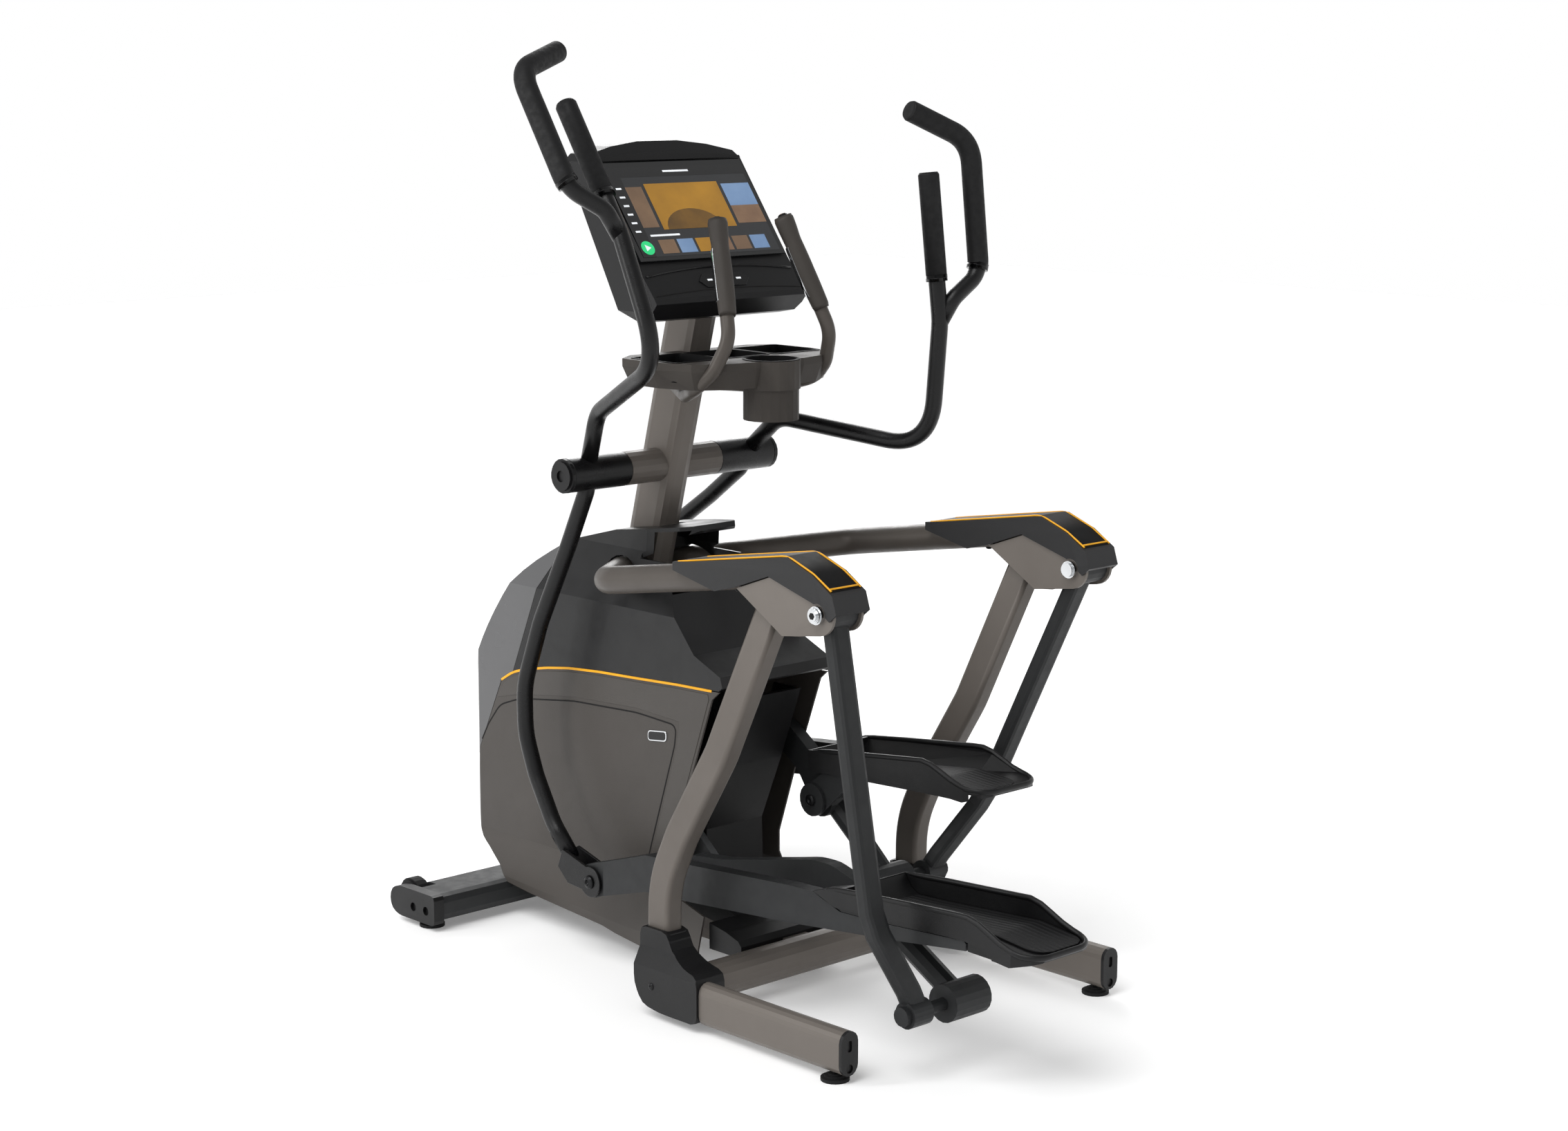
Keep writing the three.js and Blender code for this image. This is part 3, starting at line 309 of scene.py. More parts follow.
def mesh_piece(name, verts, faces, material, body, smooth=42.0, bevel=0.0, moved=None):
    """A piece from mm points in the working frame; moved(point) places a moving piece."""
    points = [moved(Vector(v)) if moved else Vector(v) for v in verts]
    mesh = bpy.data.meshes.new(name)
    mesh.from_pydata([row(p) for p in points], [], faces)
    bm = bmesh.new()
    bm.from_mesh(mesh)
    bmesh.ops.remove_doubles(bm, verts=bm.verts, dist=1e-6)
    bmesh.ops.recalc_face_normals(bm, faces=bm.faces)
    bm.to_mesh(mesh)
    bm.free()
    obj = bpy.data.objects.new(name, mesh)
    bpy.context.scene.collection.objects.link(obj)
    return finish_mesh(obj, material, body, smooth, bevel)


def ring(rx, ry=None, n=32):
    ry = rx if ry is None else ry
    return [(rx * math.cos(2 * math.pi * i / n), ry * math.sin(2 * math.pi * i / n))
            for i in range(n)]


def soft_rect(w, h, r, steps=6):
    out = []
    for cx, cy, start in ((w / 2 - r, h / 2 - r, 0), (r - w / 2, h / 2 - r, 90),
                          (r - w / 2, r - h / 2, 180), (w / 2 - r, r - h / 2, 270)):
        for k in range(steps + 1):
            t = math.radians(start + 90 * k / steps)
            out.append((cx + r * math.cos(t), cy + r * math.sin(t)))
    return out


def bent(corners, radii, step=0.1):
    pts = [Vector(c) for c in corners]
    out = [pts[0]]
    for i in range(1, len(pts) - 1):
        back, ahead = pts[i - 1] - pts[i], pts[i + 1] - pts[i]
        turn = math.pi - back.angle(ahead)
        radius = radii[min(i - 1, len(radii) - 1)]
        cut = min(radius * math.tan(turn / 2), 0.47 * back.length, 0.47 * ahead.length)
        a, b = pts[i] + back.normalized() * cut, pts[i] + ahead.normalized() * cut
        steps = max(2, round(turn / step))
        for k in range(steps + 1):
            t = k / steps
            out.append((1 - t) ** 2 * a + 2 * t * (1 - t) * pts[i] + t * t * b)
    return out + [pts[-1]]


def cap(i, n):
    """The face closing ring i of rings of n points each."""
    return tuple(range(i * n, (i + 1) * n))


def skin(rings, n):
    """The side faces joining rings of n points each."""
    faces = []
    for i in range(rings - 1):
        for j in range(n):
            a, b = i * n + j, i * n + (j + 1) % n
            faces.append((a, b, b + n, a + n))
    return faces


def tube_faces(rings, n):
    return skin(rings, n) + [cap(0, n), cap(rings - 1, n)]


def slab_faces(n):
    """The faces of an outline of n points given twice, once for each side of a slab."""
    return [cap(0, n), cap(1, n)] + [(i, (i + 1) % n, n + (i + 1) % n, n + i) for i in range(n)]


def sweep(name, section, path, material, body, moved=None, scale=None, bevel=0.0,
          smooth=42.0, across=(1, 0, 0), end_plane=None):
    """Carries a section along a path, closed at both ends; scale gives each ring's size and
    end_plane (point, normal) trims the far end at a slant."""
    verts = []
    side = Vector(across)
    for i, p in enumerate(path):
        ahead = path[min(i + 1, len(path) - 1)] - p
        behind = p - path[max(i - 1, 0)]
        along = (ahead.normalized() + behind.normalized()).normalized()
        side = (side - along * side.dot(along)).normalized()
        up = side.cross(along)
        k = scale[i] if scale else 1.0
        ends = [p + side * (u * k) + up * (v * k) for u, v in section]
        if end_plane and i == len(path) - 1:
            point, normal = Vector(end_plane[0]), Vector(end_plane[1])
            ends = [q + along * (normal.dot(point - q) / normal.dot(along)) for q in ends]
        verts += ends
    faces = tube_faces(len(path), len(section))
    return mesh_piece(name, verts, faces, material, body, smooth, bevel, moved)


def lathe(name, profile, centre, axis, material, body, moved=None, n=40, smooth=35.0):
    """A turned piece: profile of (distance along the axis, radius), closed on the axis."""
    axis = Vector(axis).normalized()
    side = axis.orthogonal().normalized()
    up = axis.cross(side)
    verts = []
    for d, r in profile:
        for j in range(n):
            t = 2 * math.pi * j / n
            verts.append(Vector(centre) + axis * d + (side * math.cos(t) + up * math.sin(t)) * r)
    faces = tube_faces(len(profile), n)
    return mesh_piece(name, verts, faces, material, body, smooth, 0.0, moved)


def plate(name, outline, x0, x1, material, body, moved=None, bevel=1.5, smooth=38.0):
    """An outline in (y, z) between two x planes."""
    verts = [(x, y, z) for x in (x0, x1) for y, z in outline]
    faces = slab_faces(len(outline))
    return mesh_piece(name, verts, faces, material, body, smooth, bevel, moved)


def bolt(name, centre, axis, r, height, body, material=None, moved=None):
    """A domed socket-head screw standing on a surface."""
    profile = [(0, r), (height * 0.5, r), (height * 0.85, r * 0.8), (height, r * 0.5),
               (height, r * 0.42), (height * 0.35, r * 0.38), (height * 0.35, r * 0.02)]
    return lathe(name, profile, centre, axis, material or ZINC, body, moved, 24)


def rotated(pivot, degrees, shift=(0.0, 0.0)):
    t = math.radians(degrees)

    def place(p):
        y, z = p.y - pivot[0], p.z - pivot[1]
        return Vector((p.x, pivot[0] + y * math.cos(t) - z * math.sin(t) + shift[0],
                       pivot[1] + y * math.sin(t) + z * math.cos(t) + shift[1]))
    return place


def mirrored(s, place=None):
    """Left-hand points to side s; place then turns a right-hand moving piece into position."""
    if s < 0:
        return None
    return lambda p: (place or (lambda q: q))(Vector((-p.x, p.y, p.z)))


ON_HANDLE = rotated(SWIVEL, SWING["handle"])
ON_PEDAL = rotated(CLEVIS, SWING["pedal"],
                   (CLEVIS_RIGHT[0] - CLEVIS[0], CLEVIS_RIGHT[1] - CLEVIS[1]))

# ------------------------------------------------------------------ carried-over CAD nodes
CAD_LOOKS = {                 # material, bevel width in mm
    "front_stabilizer": (DARK_METAL, 2.0), "front_end_cap": (BLACK, 2.0),
    "transport_wheel": (TREAD, 1.0), "foot_front": (RUBBER, 0.8), "foot_rear": (RUBBER, 0.8),
    "base_spine": (TAUPE, 1.0), "corner_boot": (BLACK, 5.0), "rear_leg": (TAUPE, 1.0),
    "leg_cap": (BLACK, 1.2), "gusset": (TAUPE, 1.2), "arm_cover": (COVER, 3.0),
    "pivot_bolt": (CHROME, 1.0), "mast": (TAUPE, 1.0), "bar_end_cap": (BLACK, 1.5),
    "shell_lower": (SHELL, 1.5), "shell_upper": (SHELL_DARK, 1.5), "rear_liner": (BLACK, 1.5),
    "crankset": (STEEL, 0.0), "flywheel": (STEEL, 0.0), "belt": (BELT, 0.0),
    "console_body": (BLACK, 6.0), "console_screen": (GLASS, 0.8), "console_key": (GLOSS_BLACK, 0.8),
    "accessory_tray": (TRAY_TAUPE, 1.5), "thumb_button": (BLACK, 0.5),
    "pedal_arm": (DARK_METAL, 1.5), "pedal_tray": (BLACK, 2.5), "coupler": (DARK_METAL, 1.5),
    "rocker": (DARK_METAL, 1.2), "support_arm": (TAUPE, 0.0), "upright": (TAUPE, 0.0),
    "grip_tube": (TAUPE_SHADED, 0.0), "grip_cover": (GRIP_TAUPE, 0.0), "handlebar": (BAR_BLACK, 0.0),
    "inner_grip": (FOAM, 0.0), "outer_grip": (FOAM, 0.0),
}
for node_name, node in NODES.items():
    base = node_name
    for ending in ("_left", "_right"):
        base = base.removesuffix(ending)
    look, width = CAD_LOOKS[base]
    for material_slot in node.material_slots:
        material_slot.material = look
    shade(node, 42.0, width)

# ------------------------------------------------------------------ floor, light, camera
FLOOR_HALF = 14.0             # metres
FLOOR_GLOW = 0.16             # a weak emission keeps the horizon out of sight
SKY_LOW, SKY_HIGH = 0.1, 0.6  # heights in the sky where the dimming starts and ends
SKY_BRIGHT, SKY_DIM = 1.0, 0.42
CAMERA_LENS, CAMERA_SENSOR = 66.6, 36.0
CAMERA_PLACE = (-3.665, -4.575 + FRONT_FEET_Y * MM, 1.740)
CAMERA_YAW, CAMERA_PITCH, CAMERA_ROLL = 43.41, 10.10, 0.105
floor_mesh = bpy.data.meshes.new("floor")
floor_mesh.from_pydata([(-FLOOR_HALF, -FLOOR_HALF, 0), (FLOOR_HALF, -FLOOR_HALF, 0),
                        (FLOOR_HALF, FLOOR_HALF, 0), (-FLOOR_HALF, FLOOR_HALF, 0)],
                       [], [(0, 1, 2, 3)])
floor = bpy.data.objects.new("floor", floor_mesh)
bpy.context.scene.collection.objects.link(floor)
floor_look = Surface("pale_floor", 0.6).colour("#f4f4f4", "#f8f8f8", 1.2).mat
floor_shader = floor_look.node_tree.nodes["Principled BSDF"]
floor_shader.inputs["Emission Color"].default_value = (1.0, 1.0, 1.0, 1.0)
floor_shader.inputs["Emission Strength"].default_value = FLOOR_GLOW
floor.data.materials.append(floor_look)

# A white studio: bright all round at eye level, dimmer overhead, so dark edges still read.
world = bpy.data.worlds.new("studio")
bpy.context.scene.world = world
world.use_nodes = True
sky = world.node_tree
direction = sky.nodes.new("ShaderNodeTexCoord")
height = sky.nodes.new("ShaderNodeSeparateXYZ")
dome = sky.nodes.new("ShaderNodeMapRange")
for key, value in (("From Min", SKY_LOW), ("From Max", SKY_HIGH), ("To Min", SKY_BRIGHT),
                   ("To Max", SKY_DIM)):
    dome.inputs[key].default_value = value
sky.links.new(direction.outputs["Generated"], height.inputs["Vector"])
sky.links.new(height.outputs["Z"], dome.inputs["Value"])
sky.links.new(dome.outputs["Result"], sky.nodes["Background"].inputs["Strength"])
sky.nodes["Background"].inputs["Color"].default_value = (1.0, 1.0, 1.0, 1.0)
bpy.context.scene.view_settings.view_transform = "Standard"


def area(name, place, aim, size, power):
    light = bpy.data.lights.new(name, "AREA")
    light.shape = "RECTANGLE"
    light.size, light.size_y = size
    light.energy = power
    obj = bpy.data.objects.new(name, light)
    obj.location = place
    obj.rotation_euler = (Vector(aim) - Vector(place)).to_track_quat("-Z", "Y").to_euler()
    bpy.context.scene.collection.objects.link(obj)


def sun(name, towards, strength, softness):
    light = bpy.data.lights.new(name, "SUN")
    light.energy = strength
    light.angle = math.radians(softness)
    obj = bpy.data.objects.new(name, light)
    obj.rotation_euler = Vector(towards).to_track_quat("-Z", "Y").to_euler()
    bpy.context.scene.collection.objects.link(obj)


middle = (0.0, 0.0, 0.8)
sun("key", (0.62, 0.12, -0.95), 1.7, 38)
area("rim", (2.6, 3.2, 2.6), middle, (1.6, 2.6), 60)
area("strip", (-3.4, 1.6, 2.4), middle, (0.7, 3.0), 55)

camera_data = bpy.data.cameras.new("camera")
camera_data.lens = CAMERA_LENS
camera_data.sensor_width = CAMERA_SENSOR
camera = bpy.data.objects.new("camera", camera_data)
camera.location = CAMERA_PLACE
yaw, pitch, roll = (math.radians(v) for v in (CAMERA_YAW, CAMERA_PITCH, CAMERA_ROLL))
camera.rotation_euler = (Euler((math.pi / 2 - pitch, 0, -yaw)).to_matrix()
                         @ Matrix.Rotation(roll, 3, "Z")).to_euler()
bpy.context.scene.collection.objects.link(camera)
bpy.context.scene.camera = camera

# ------------------------------------------------------------------ static tubes
for side, s in SIDES:
    arm_path = bent([(-320, -1072, 866), (-322, -793, 820), (-314, -560, 782), (-95, -342, 746),
                     (-34, -282, 736)], [400, 90, 60])
    arm = sweep(f"support_arm_tube_{side}", ring(25.5, n=40), arm_path, TAUPE_SHADED, "frame",
                mirrored(s))
    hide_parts(f"support_arm_{side}")
    run = bent([(-322, -727, 62), (-322, -727, 245), (-322, -775, 345), (-322, -882, 515),
                (-322, -990, 737)], [260, 260, 260], 0.05)
    post = sweep(f"upright_tube_{side}", soft_rect(40, 57, 9, 5), run, TAUPE, "frame",
                 mirrored(s), end_plane=((0, -952, 823), (0, 70.5, -119)))
    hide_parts(f"upright_{side}")

# ------------------------------------------------------------------ static pulse grips
COVER_LOW, COVER_BEND = Vector((-119, -677, 1261)), Vector((-104, -649, 1327))
COVER_TOP = Vector((-84, -611, 1424))
COVER_STEPS = 26
HEAD_FROM = 0.74              # how far along the cover its flared head starts
CONTACT_CENTRES = (("outer", 208), ("inner", 332))   # degrees round the cover
MARK_SHAPES = (
    ("outline", [(-5.2, 3.6), (5.2, 3.6), (4.2, -2.6), (0, -5.4), (-4.2, -2.6)], ORANGE, 0.0),
    ("field", [(-4.3, 2.8), (4.3, 2.8), (3.5, -2.1), (0, -4.4), (-3.5, -2.1)], BLACK, 0.35),
    ("arrow", [(-2.0, 0.2), (2.0, 0.2), (0, -2.6)], UI_TEXT, 0.7))
for side, s in SIDES:
    corners = [(-34, -434, 1108), (-112, -552, 1105), (-152, -625, 1126), (-142, -664, 1160),
               (-128, -690, 1219), (-104, -649, 1327), (-84, -611, 1410)]
    tube_run = bent(corners, [60, 60, 60, 60, 120, 200])
    rod = sweep(f"pulse_grip_tube_{side}", ring(13), tube_run, TAUPE_SHADED, "frame",
                mirrored(s))
    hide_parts(f"grip_tube_{side}")
    axis = (COVER_TOP - COVER_BEND).normalized()
    lower = (COVER_BEND - COVER_LOW).length
    length = lower + (COVER_TOP - COVER_BEND).length + 8
    path, widths = [], []
    for k in range(COVER_STEPS + 1):
        t = k / COVER_STEPS
        d = t * length
        path.append(COVER_LOW.lerp(COVER_BEND, d / lower) if d < lower
                    else COVER_BEND + axis * (d - lower))
        head = max(0.0, t - HEAD_FROM) / (1 - HEAD_FROM)
        belly = 0.88 + 0.12 * math.sin(math.pi * min(t * 1.3, 1.0)) + 0.156 * head * (2 - head)
        widths.append(belly if 0 < k < COVER_STEPS else belly * 0.9)
    cover = sweep(f"pulse_grip_{side}", ring(18.5, 17.5), path, GRIP_TAUPE, "frame",
                  mirrored(s), widths)
    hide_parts(f"grip_cover_{side}")
    plate_path = path[4:19]
    for label, centre in CONTACT_CENTRES:
        arc = [math.radians(centre + a) for a in range(-28, 29, 7)]
        contact = [(19.4 * math.cos(a), 18.4 * math.sin(a)) for a in arc]
        contact += [(17.2 * math.cos(a), 16.2 * math.sin(a)) for a in reversed(arc)]
        sweep(f"pulse_contact_{label}_{side}", contact, plate_path, CHROME, "frame",
              mirrored(s), [0.96] + [1.0] * (len(plate_path) - 2) + [0.96], 0.4)
    face = COVER_TOP + axis * 12.6
    across = Vector((1, 0, 0)) - axis * axis.x
    across.normalize()
    rise = across.cross(axis)
    for label, shape, look, lift in MARK_SHAPES:
        verts = [face + across * (u * 1.1) + rise * (v * 1.1) + axis * (lift + h)
                 for h in (0.0, 0.35) for u, v in shape]
        mesh_piece(f"button_mark_{label}_{side}", verts, slab_faces(len(shape)), look,
                   f"thumb_{side}", 30.0, 0.0, mirrored(s))

# ------------------------------------------------------------------ moving handlebars
def bar_point(x, dy, dz):
    return (-x, SWIVEL[0] + dy, SWIVEL[1] + dz)


inner_corners = [bar_point(*p) for p in ((204, -8, 24), (208, -39, 118), (308, -331, 243),
                                         (306, -226, 466), (296, -65, 689))]
outer_corners = [bar_point(*p) for p in ((306, -226, 460), (330, -213, 508), (397, -193, 548),
                                         (389, -49, 751), (258, 6, 785))]
lower_corners = [bar_point(*p) for p in ((204, -2, -20), (206, -2, -34), (211, 47, -143),
                                         (217, 128, -304), (221, 176, -435), (223, 172, -531),
                                         (223, 141, -609), (223, 89, -696), (223, 22, -764))]
inner_run = bent(inner_corners, [60, 95, 150])
outer_run = bent(outer_corners, [40, 50, 70])
lower_run = bent(lower_corners, [60, 200, 200, 160, 160, 160, 120])


def grip_on(run, from_z):
    """The last stretch of a bar above a height, as the run a foam grip covers."""
    for i in range(1, len(run)):
        if run[i].z > from_z:
            t = (from_z - run[i - 1].z) / (run[i].z - run[i - 1].z)
            return [run[i - 1].lerp(run[i], max(t, 0.0))] + run[i:]
    return run


SLEEVE = [(0, 23), (0, 31.5), (1.5, 33), (138.2, 33), (139.7, 31.5), (139.7, 23)]
SLEEVE_END = -255             # x where the pivot sleeve starts
CLEVIS_EAR = [(CLEVIS[0] + 30 * math.cos(a), CLEVIS[1] + 30 * math.sin(a))
              for a in [math.radians(d) for d in range(70, 321, 10)]]
CLEVIS_EAR += [(-352, 150), (-322, 178), (-336, 214), (-366, 206)]
CLEVIS_WEB = [(-372, 158), (-345, 152), (-322, 178), (-336, 214), (-364, 196)]
for side, s in SIDES:
    moved = mirrored(s, ON_HANDLE)
    body = f"handlebar_{side}"
    parts = [
        sweep(f"bar_inner_{side}", ring(16), inner_run, BAR_BLACK, body, moved),
        sweep(f"bar_outer_{side}", ring(16), outer_run, BAR_BLACK, body, moved),
        sweep(f"bar_lower_{side}", ring(16), lower_run, BAR_BLACK, body, moved),
        lathe(f"bar_sleeve_{side}", SLEEVE, (SLEEVE_END, *SWIVEL), (1, 0, 0), BAR_BLACK, body,
              moved),
    ]
    for label, x0, x1 in (("outer", -245, -239), ("inner", -207, -201)):
        parts.append(plate(f"clevis_{label}_{side}", CLEVIS_EAR, x0, x1, BAR_BLACK, body,
                           moved, 1.2))
    parts.append(plate(f"clevis_web_{side}", CLEVIS_WEB, -243, -203, BAR_BLACK, body,
                       moved, 3.0))
    for part in parts:
        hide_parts(f"handlebar_{side}")
    bolt(f"clevis_bolt_{side}", (-245, *CLEVIS), (-1, 0, 0), 13, 6, body,
         ZINC, moved)
    for label, run, rise in (("inner", inner_run, 530), ("outer", outer_run, 556)):
        path = grip_on(run, SWIVEL[1] + rise)
        path.append(path[-1] + (path[-1] - path[-2]).normalized() * 5)
        widths = [1.0] * (len(path) - 1) + [0.86]
        grip = sweep(f"{label}_grip_foam_{side}", ring(20), path, FOAM, body, moved,
                     widths)
        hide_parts(f"{label}_grip_{side}")
        first = (path[1] - path[0]).normalized()
        sweep(f"{label}_grip_ring_{side}", ring(20.6), [path[0] - first * 3, path[0] + first * 9],
              GLOSS_BLACK, body, moved)

# ------------------------------------------------------------------ housing's sides
HOUSING_SIDE = -142.0         # x of the left face
BADGE_AT, BADGE_SLOPE = (-502, 452), 0.12
STRIPE = [(-656, 563.5), (-560, 560.5), (-437, 554), (-330, 549), (-238, 542), (-170, 532),
          (-113, 521), (-60, 507), (-22, 485)]
for side, s in SIDES:
    path = bent([(HOUSING_SIDE - 0.2, y, z) for y, z in STRIPE], [300], 0.06)
    sweep(f"housing_stripe_{side}", soft_rect(2.4, 5.0, 1.0, 2), path, YELLOW, "frame",
          mirrored(s))

# Panel groove, the smooth shoulder above it in a lighter taupe as a painted highlight, a plain
# badge and a cover screw on each side.
GROOVE_LINE = [(46, 350), (25, 385), (-15, 432), (-80, 455), (-250, 478), (-440, 487), (-556, 481),
               (-550, 440), (-480, 230), (-430, 70)]
BORDER = [(-30, 480), (-64, 500), (-113, 514), (-170, 525), (-238, 535), (-330, 542),
          (-437, 547), (-560, 553.5), (-645, 556), (-648, 546), (-574, 341), (-536, 222),
          (-536, 182), (-529, 169), (-468, 169), (-489, 232), (-558, 441), (-566, 490),
          (-440, 496), (-250, 487), (-80, 464), (-8, 447)]
GROOVE_BENDS = [120, 60, 200, 300, 300, 20, 60, 60]


def badge(w, h, r):
    return [(BADGE_AT[0] + u, BADGE_AT[1] + v - BADGE_SLOPE * u) for u, v in soft_rect(w, h, r, 4)]


for side, s in SIDES:
    groove = bent([(HOUSING_SIDE - 0.1, y, z) for y, z in GROOVE_LINE], GROOVE_BENDS, 0.12)
    # The groove is a dark strip of painted shade.
    sweep(f"panel_groove_{side}", soft_rect(1.0, 3.0, 0.4, 2), groove, GROOVE, "frame",
          mirrored(s))
    plate(f"panel_border_{side}", BORDER, HOUSING_SIDE - 1.0, HOUSING_SIDE + 0.5, SHELL_BAND_HIGHLIT,
          "frame", mirrored(s), 0.9, 30.0)
    plate(f"badge_rim_{side}", badge(54, 21, 7), HOUSING_SIDE - 2.4, HOUSING_SIDE + 0.5, CHROME,
          "frame", mirrored(s), 0.8)
    plate(f"badge_face_{side}", badge(49, 16, 5.5), HOUSING_SIDE - 2.9, HOUSING_SIDE - 1.5,
          GLOSS_BLACK, "frame", mirrored(s), 0.3)
    bolt(f"shell_screw_{side}", (HOUSING_SIDE + 0.2, -104, 548), (-1, 0, 0), 5.5, 2.4, "frame",
         ZINC, mirrored(s))

# ------------------------------------------------------------------ arm covers
COVER_RIDGE = [(-806, 853.8), (-837, 859.0), (-1085, 899.0), (-1148, 876.2), (-1190, 852.0)]
COVER_MID, COVER_HALF, STRIPE_HALF = -320.0, 32.0, 34.5      # x of the middle, half widths
STRIPE_END = (-1186.0, 855.5)                                # where the stripe crosses over
for side, s in SIDES:
    underside = [(y + 0.3, z - 2.2) for y, z in reversed(COVER_RIDGE)]
    top_panel = [(y, z + 0.6) for y, z in COVER_RIDGE]
    plate(f"cover_top_{side}", top_panel + underside, COVER_MID - COVER_HALF,
          COVER_MID + COVER_HALF, TOP_BLACK, "frame", mirrored(s), 0.5)
    for label, x in (("outer", COVER_MID - STRIPE_HALF), ("inner", COVER_MID + STRIPE_HALF)):
        sweep(f"cover_stripe_{label}_{side}", ring(1.7, n=10),
              bent([(x, y, z + 0.4) for y, z in COVER_RIDGE], [60]), YELLOW, "frame",
              mirrored(s))
    crossing = [Vector((COVER_MID + x, *STRIPE_END))
                for x in (-STRIPE_HALF, -17, 0, 17, STRIPE_HALF)]
    sweep(f"cover_stripe_low_{side}", ring(1.7, n=10), crossing, YELLOW, "frame",
          mirrored(s), across=(0, 1, 0))
    for label, x, y, z in (("front", -320, -850, 828.5), ("rear", -320, -925, 816.5)):
        bolt(f"cover_screw_{label}_{side}", (x, y, z), (0, 0, -1), 6, 4.0, "frame",
             ZINC, mirrored(s))
    socket = [(PIVOT[0] + 6.2 * math.cos(math.radians(60 * k)),
               PIVOT[1] + 6.2 * math.sin(math.radians(60 * k))) for k in range(6)]
    plate(f"pivot_socket_{side}", socket, -372.5, -371, GROOVE, "frame",
          mirrored(s), 0.0)
    bolt(f"boot_screw_{side}", (-365.6, -738, 62), (-1, 0, 0), 7, 2.6, "frame",
         ZINC, mirrored(s))

# ------------------------------------------------------------------ pedal trays
TRAY_FLOOR = [(-1104, 262.3), (-1208, 266.3), (-1430, 280.3), (-1496, 272.8), (-1541, 268.8)]
TRAY_RIM = [(-1040, 286), (-1095, 297.5), (-1206, 305.5), (-1400, 317), (-1425, 311.5),
            (-1483, 284.5), (-1520, 275.5), (-1550, 272)]


def level(line, y):
    """Height of a (y, z) line at y; the line runs rearward."""
    for (y0, z0), (y1, z1) in zip(line, line[1:]):
        if y1 <= y <= y0:
            return z0 + (z1 - z0) * (y - y0) / (y1 - y0)
    return line[0][1] if y > line[0][0] else line[-1][1]


def strip(name, rows, thick, material, body, moved=None, bevel=0.8):
    """A sheet of rows (x0, x1, y, z) with a thickness, following a bending floor."""
    verts = []
    for x0, x1, y, z in rows:
        verts += [(x0, y, z), (x1, y, z), (x1, y, z + thick), (x0, y, z + thick)]
    faces = tube_faces(len(rows), 4)
    return mesh_piece(name, verts, faces, material, body, 30.0, bevel, moved)


MAT_TOE, MAT_STEP, MAT_ROWS = -1138, 7.2, 56
MAT_HEEL, HEEL_RUN, HEEL_ROUND = -1496, 38.2, 30     # where the mat's heel starts to round off
LIP_IN, LIP_OUT, LIP_BEND = -81.5, -242.5, 44.0
QUARTER = [math.radians(9 * k) for k in range(11)]
SCREW_SPOTS = ((-110, -1250), (-190, -1250), (-110, -1380), (-190, -1380))
TOE_RAMP = [(-1104.6, 262.6), (-1150, 264.4), (-1134, 268), (-1120, 276), (-1110, 288),
            (-1104.6, 298)]
for side, s in SIDES:
    moved = mirrored(s, ON_PEDAL)
    body = f"pedal_{side}"
    rows = []
    for k in range(MAT_ROWS):
        y = MAT_TOE - k * MAT_STEP
        tail = max(0.0, (MAT_HEEL - y) / HEEL_RUN)
        tuck = HEEL_ROUND * (1 - math.sqrt(max(0.0, 1 - tail * tail)))
        rows.append((-204 + tuck, -86 - tuck, y, level(TRAY_FLOOR, y)))
    strip(f"tray_mat_{side}", rows, 3.2, MAT_RUBBER, body, moved)
    # A padded lip runs right round the foot space, low at the heel.
    plan = [(LIP_IN, y) for y in range(-1112, -1500, -24)]
    plan += [(LIP_IN - LIP_BEND * (1 - math.cos(a)), -1504 - LIP_BEND * math.sin(a))
             for a in QUARTER]
    plan += [(LIP_IN - LIP_BEND - 12 * k, -1548) for k in range(1, 7)]
    plan += [(LIP_OUT + LIP_BEND * (1 - math.sin(a)), -1504 - LIP_BEND * math.cos(a))
             for a in QUARTER]
    plan += [(LIP_OUT, y) for y in range(-1500, -1060, 24)]
    lip = [Vector((x, y, level(TRAY_RIM, y) - 1.5)) for x, y in plan]
    sweep(f"tray_lip_{side}", ring(4.6, 5.4, 12), lip, BLACK, body, moved,
          [0.5, 0.85] + [1.0] * (len(lip) - 4) + [0.85, 0.5])
    plate(f"tray_toe_ramp_{side}", TOE_RAMP, -210, -83.4, BLACK, body, moved,
          1.0)
    for k, (x, y) in enumerate(SCREW_SPOTS):
        bolt(f"tray_screw_{k}_{side}", (x, y, level(TRAY_FLOOR, y) - 12.5), (0, 0, -1), 6, 4.5,
             body, ZINC, moved)
    bolt(f"lobe_bolt_{side}", (-72.2, -1107, 202), (1, 0, 0), 11, 2.0, body,
         ZINC, moved)

# ------------------------------------------------------------------ accessory tray liners
def tub(name, x0, x1, y0, y1, floor_z, top_z, radius, material, lip=4.0):
    """A thin open-topped liner standing in a pocket, with a flange on the deck around it."""
    cx, cy = (x0 + x1) / 2, (y0 + y1) / 2
    w, h = x1 - x0, y1 - y0
    inside = [(2 * lip, top_z), (2 * lip - 0.6, top_z + 1.2), (-2.0, top_z + 1.2),
              (-3.0, floor_z + 4.0), (-10.0, floor_z + 1.2)]
    outside = [(-0.8, top_z), (-0.8, floor_z + 0.3)]
    verts = [(cx + u, cy + v, z) for grow, z in inside + outside
             for u, v in soft_rect(w + grow, h + grow, radius, 5)]
    n = len(verts) // len(inside + outside)
    base = len(inside) * n
    faces = skin(len(inside), n) + [cap(len(inside) - 1, n)]
    for j in range(n):
        a, b = j, (j + 1) % n
        faces.append((a, b, base + b, base + a))
        faces.append((base + a, base + b, base + n + b, base + n + a))
    faces.append(tuple(range(base + n, base + 2 * n)))
    return mesh_piece(name, verts, faces, material, "frame", 35.0)


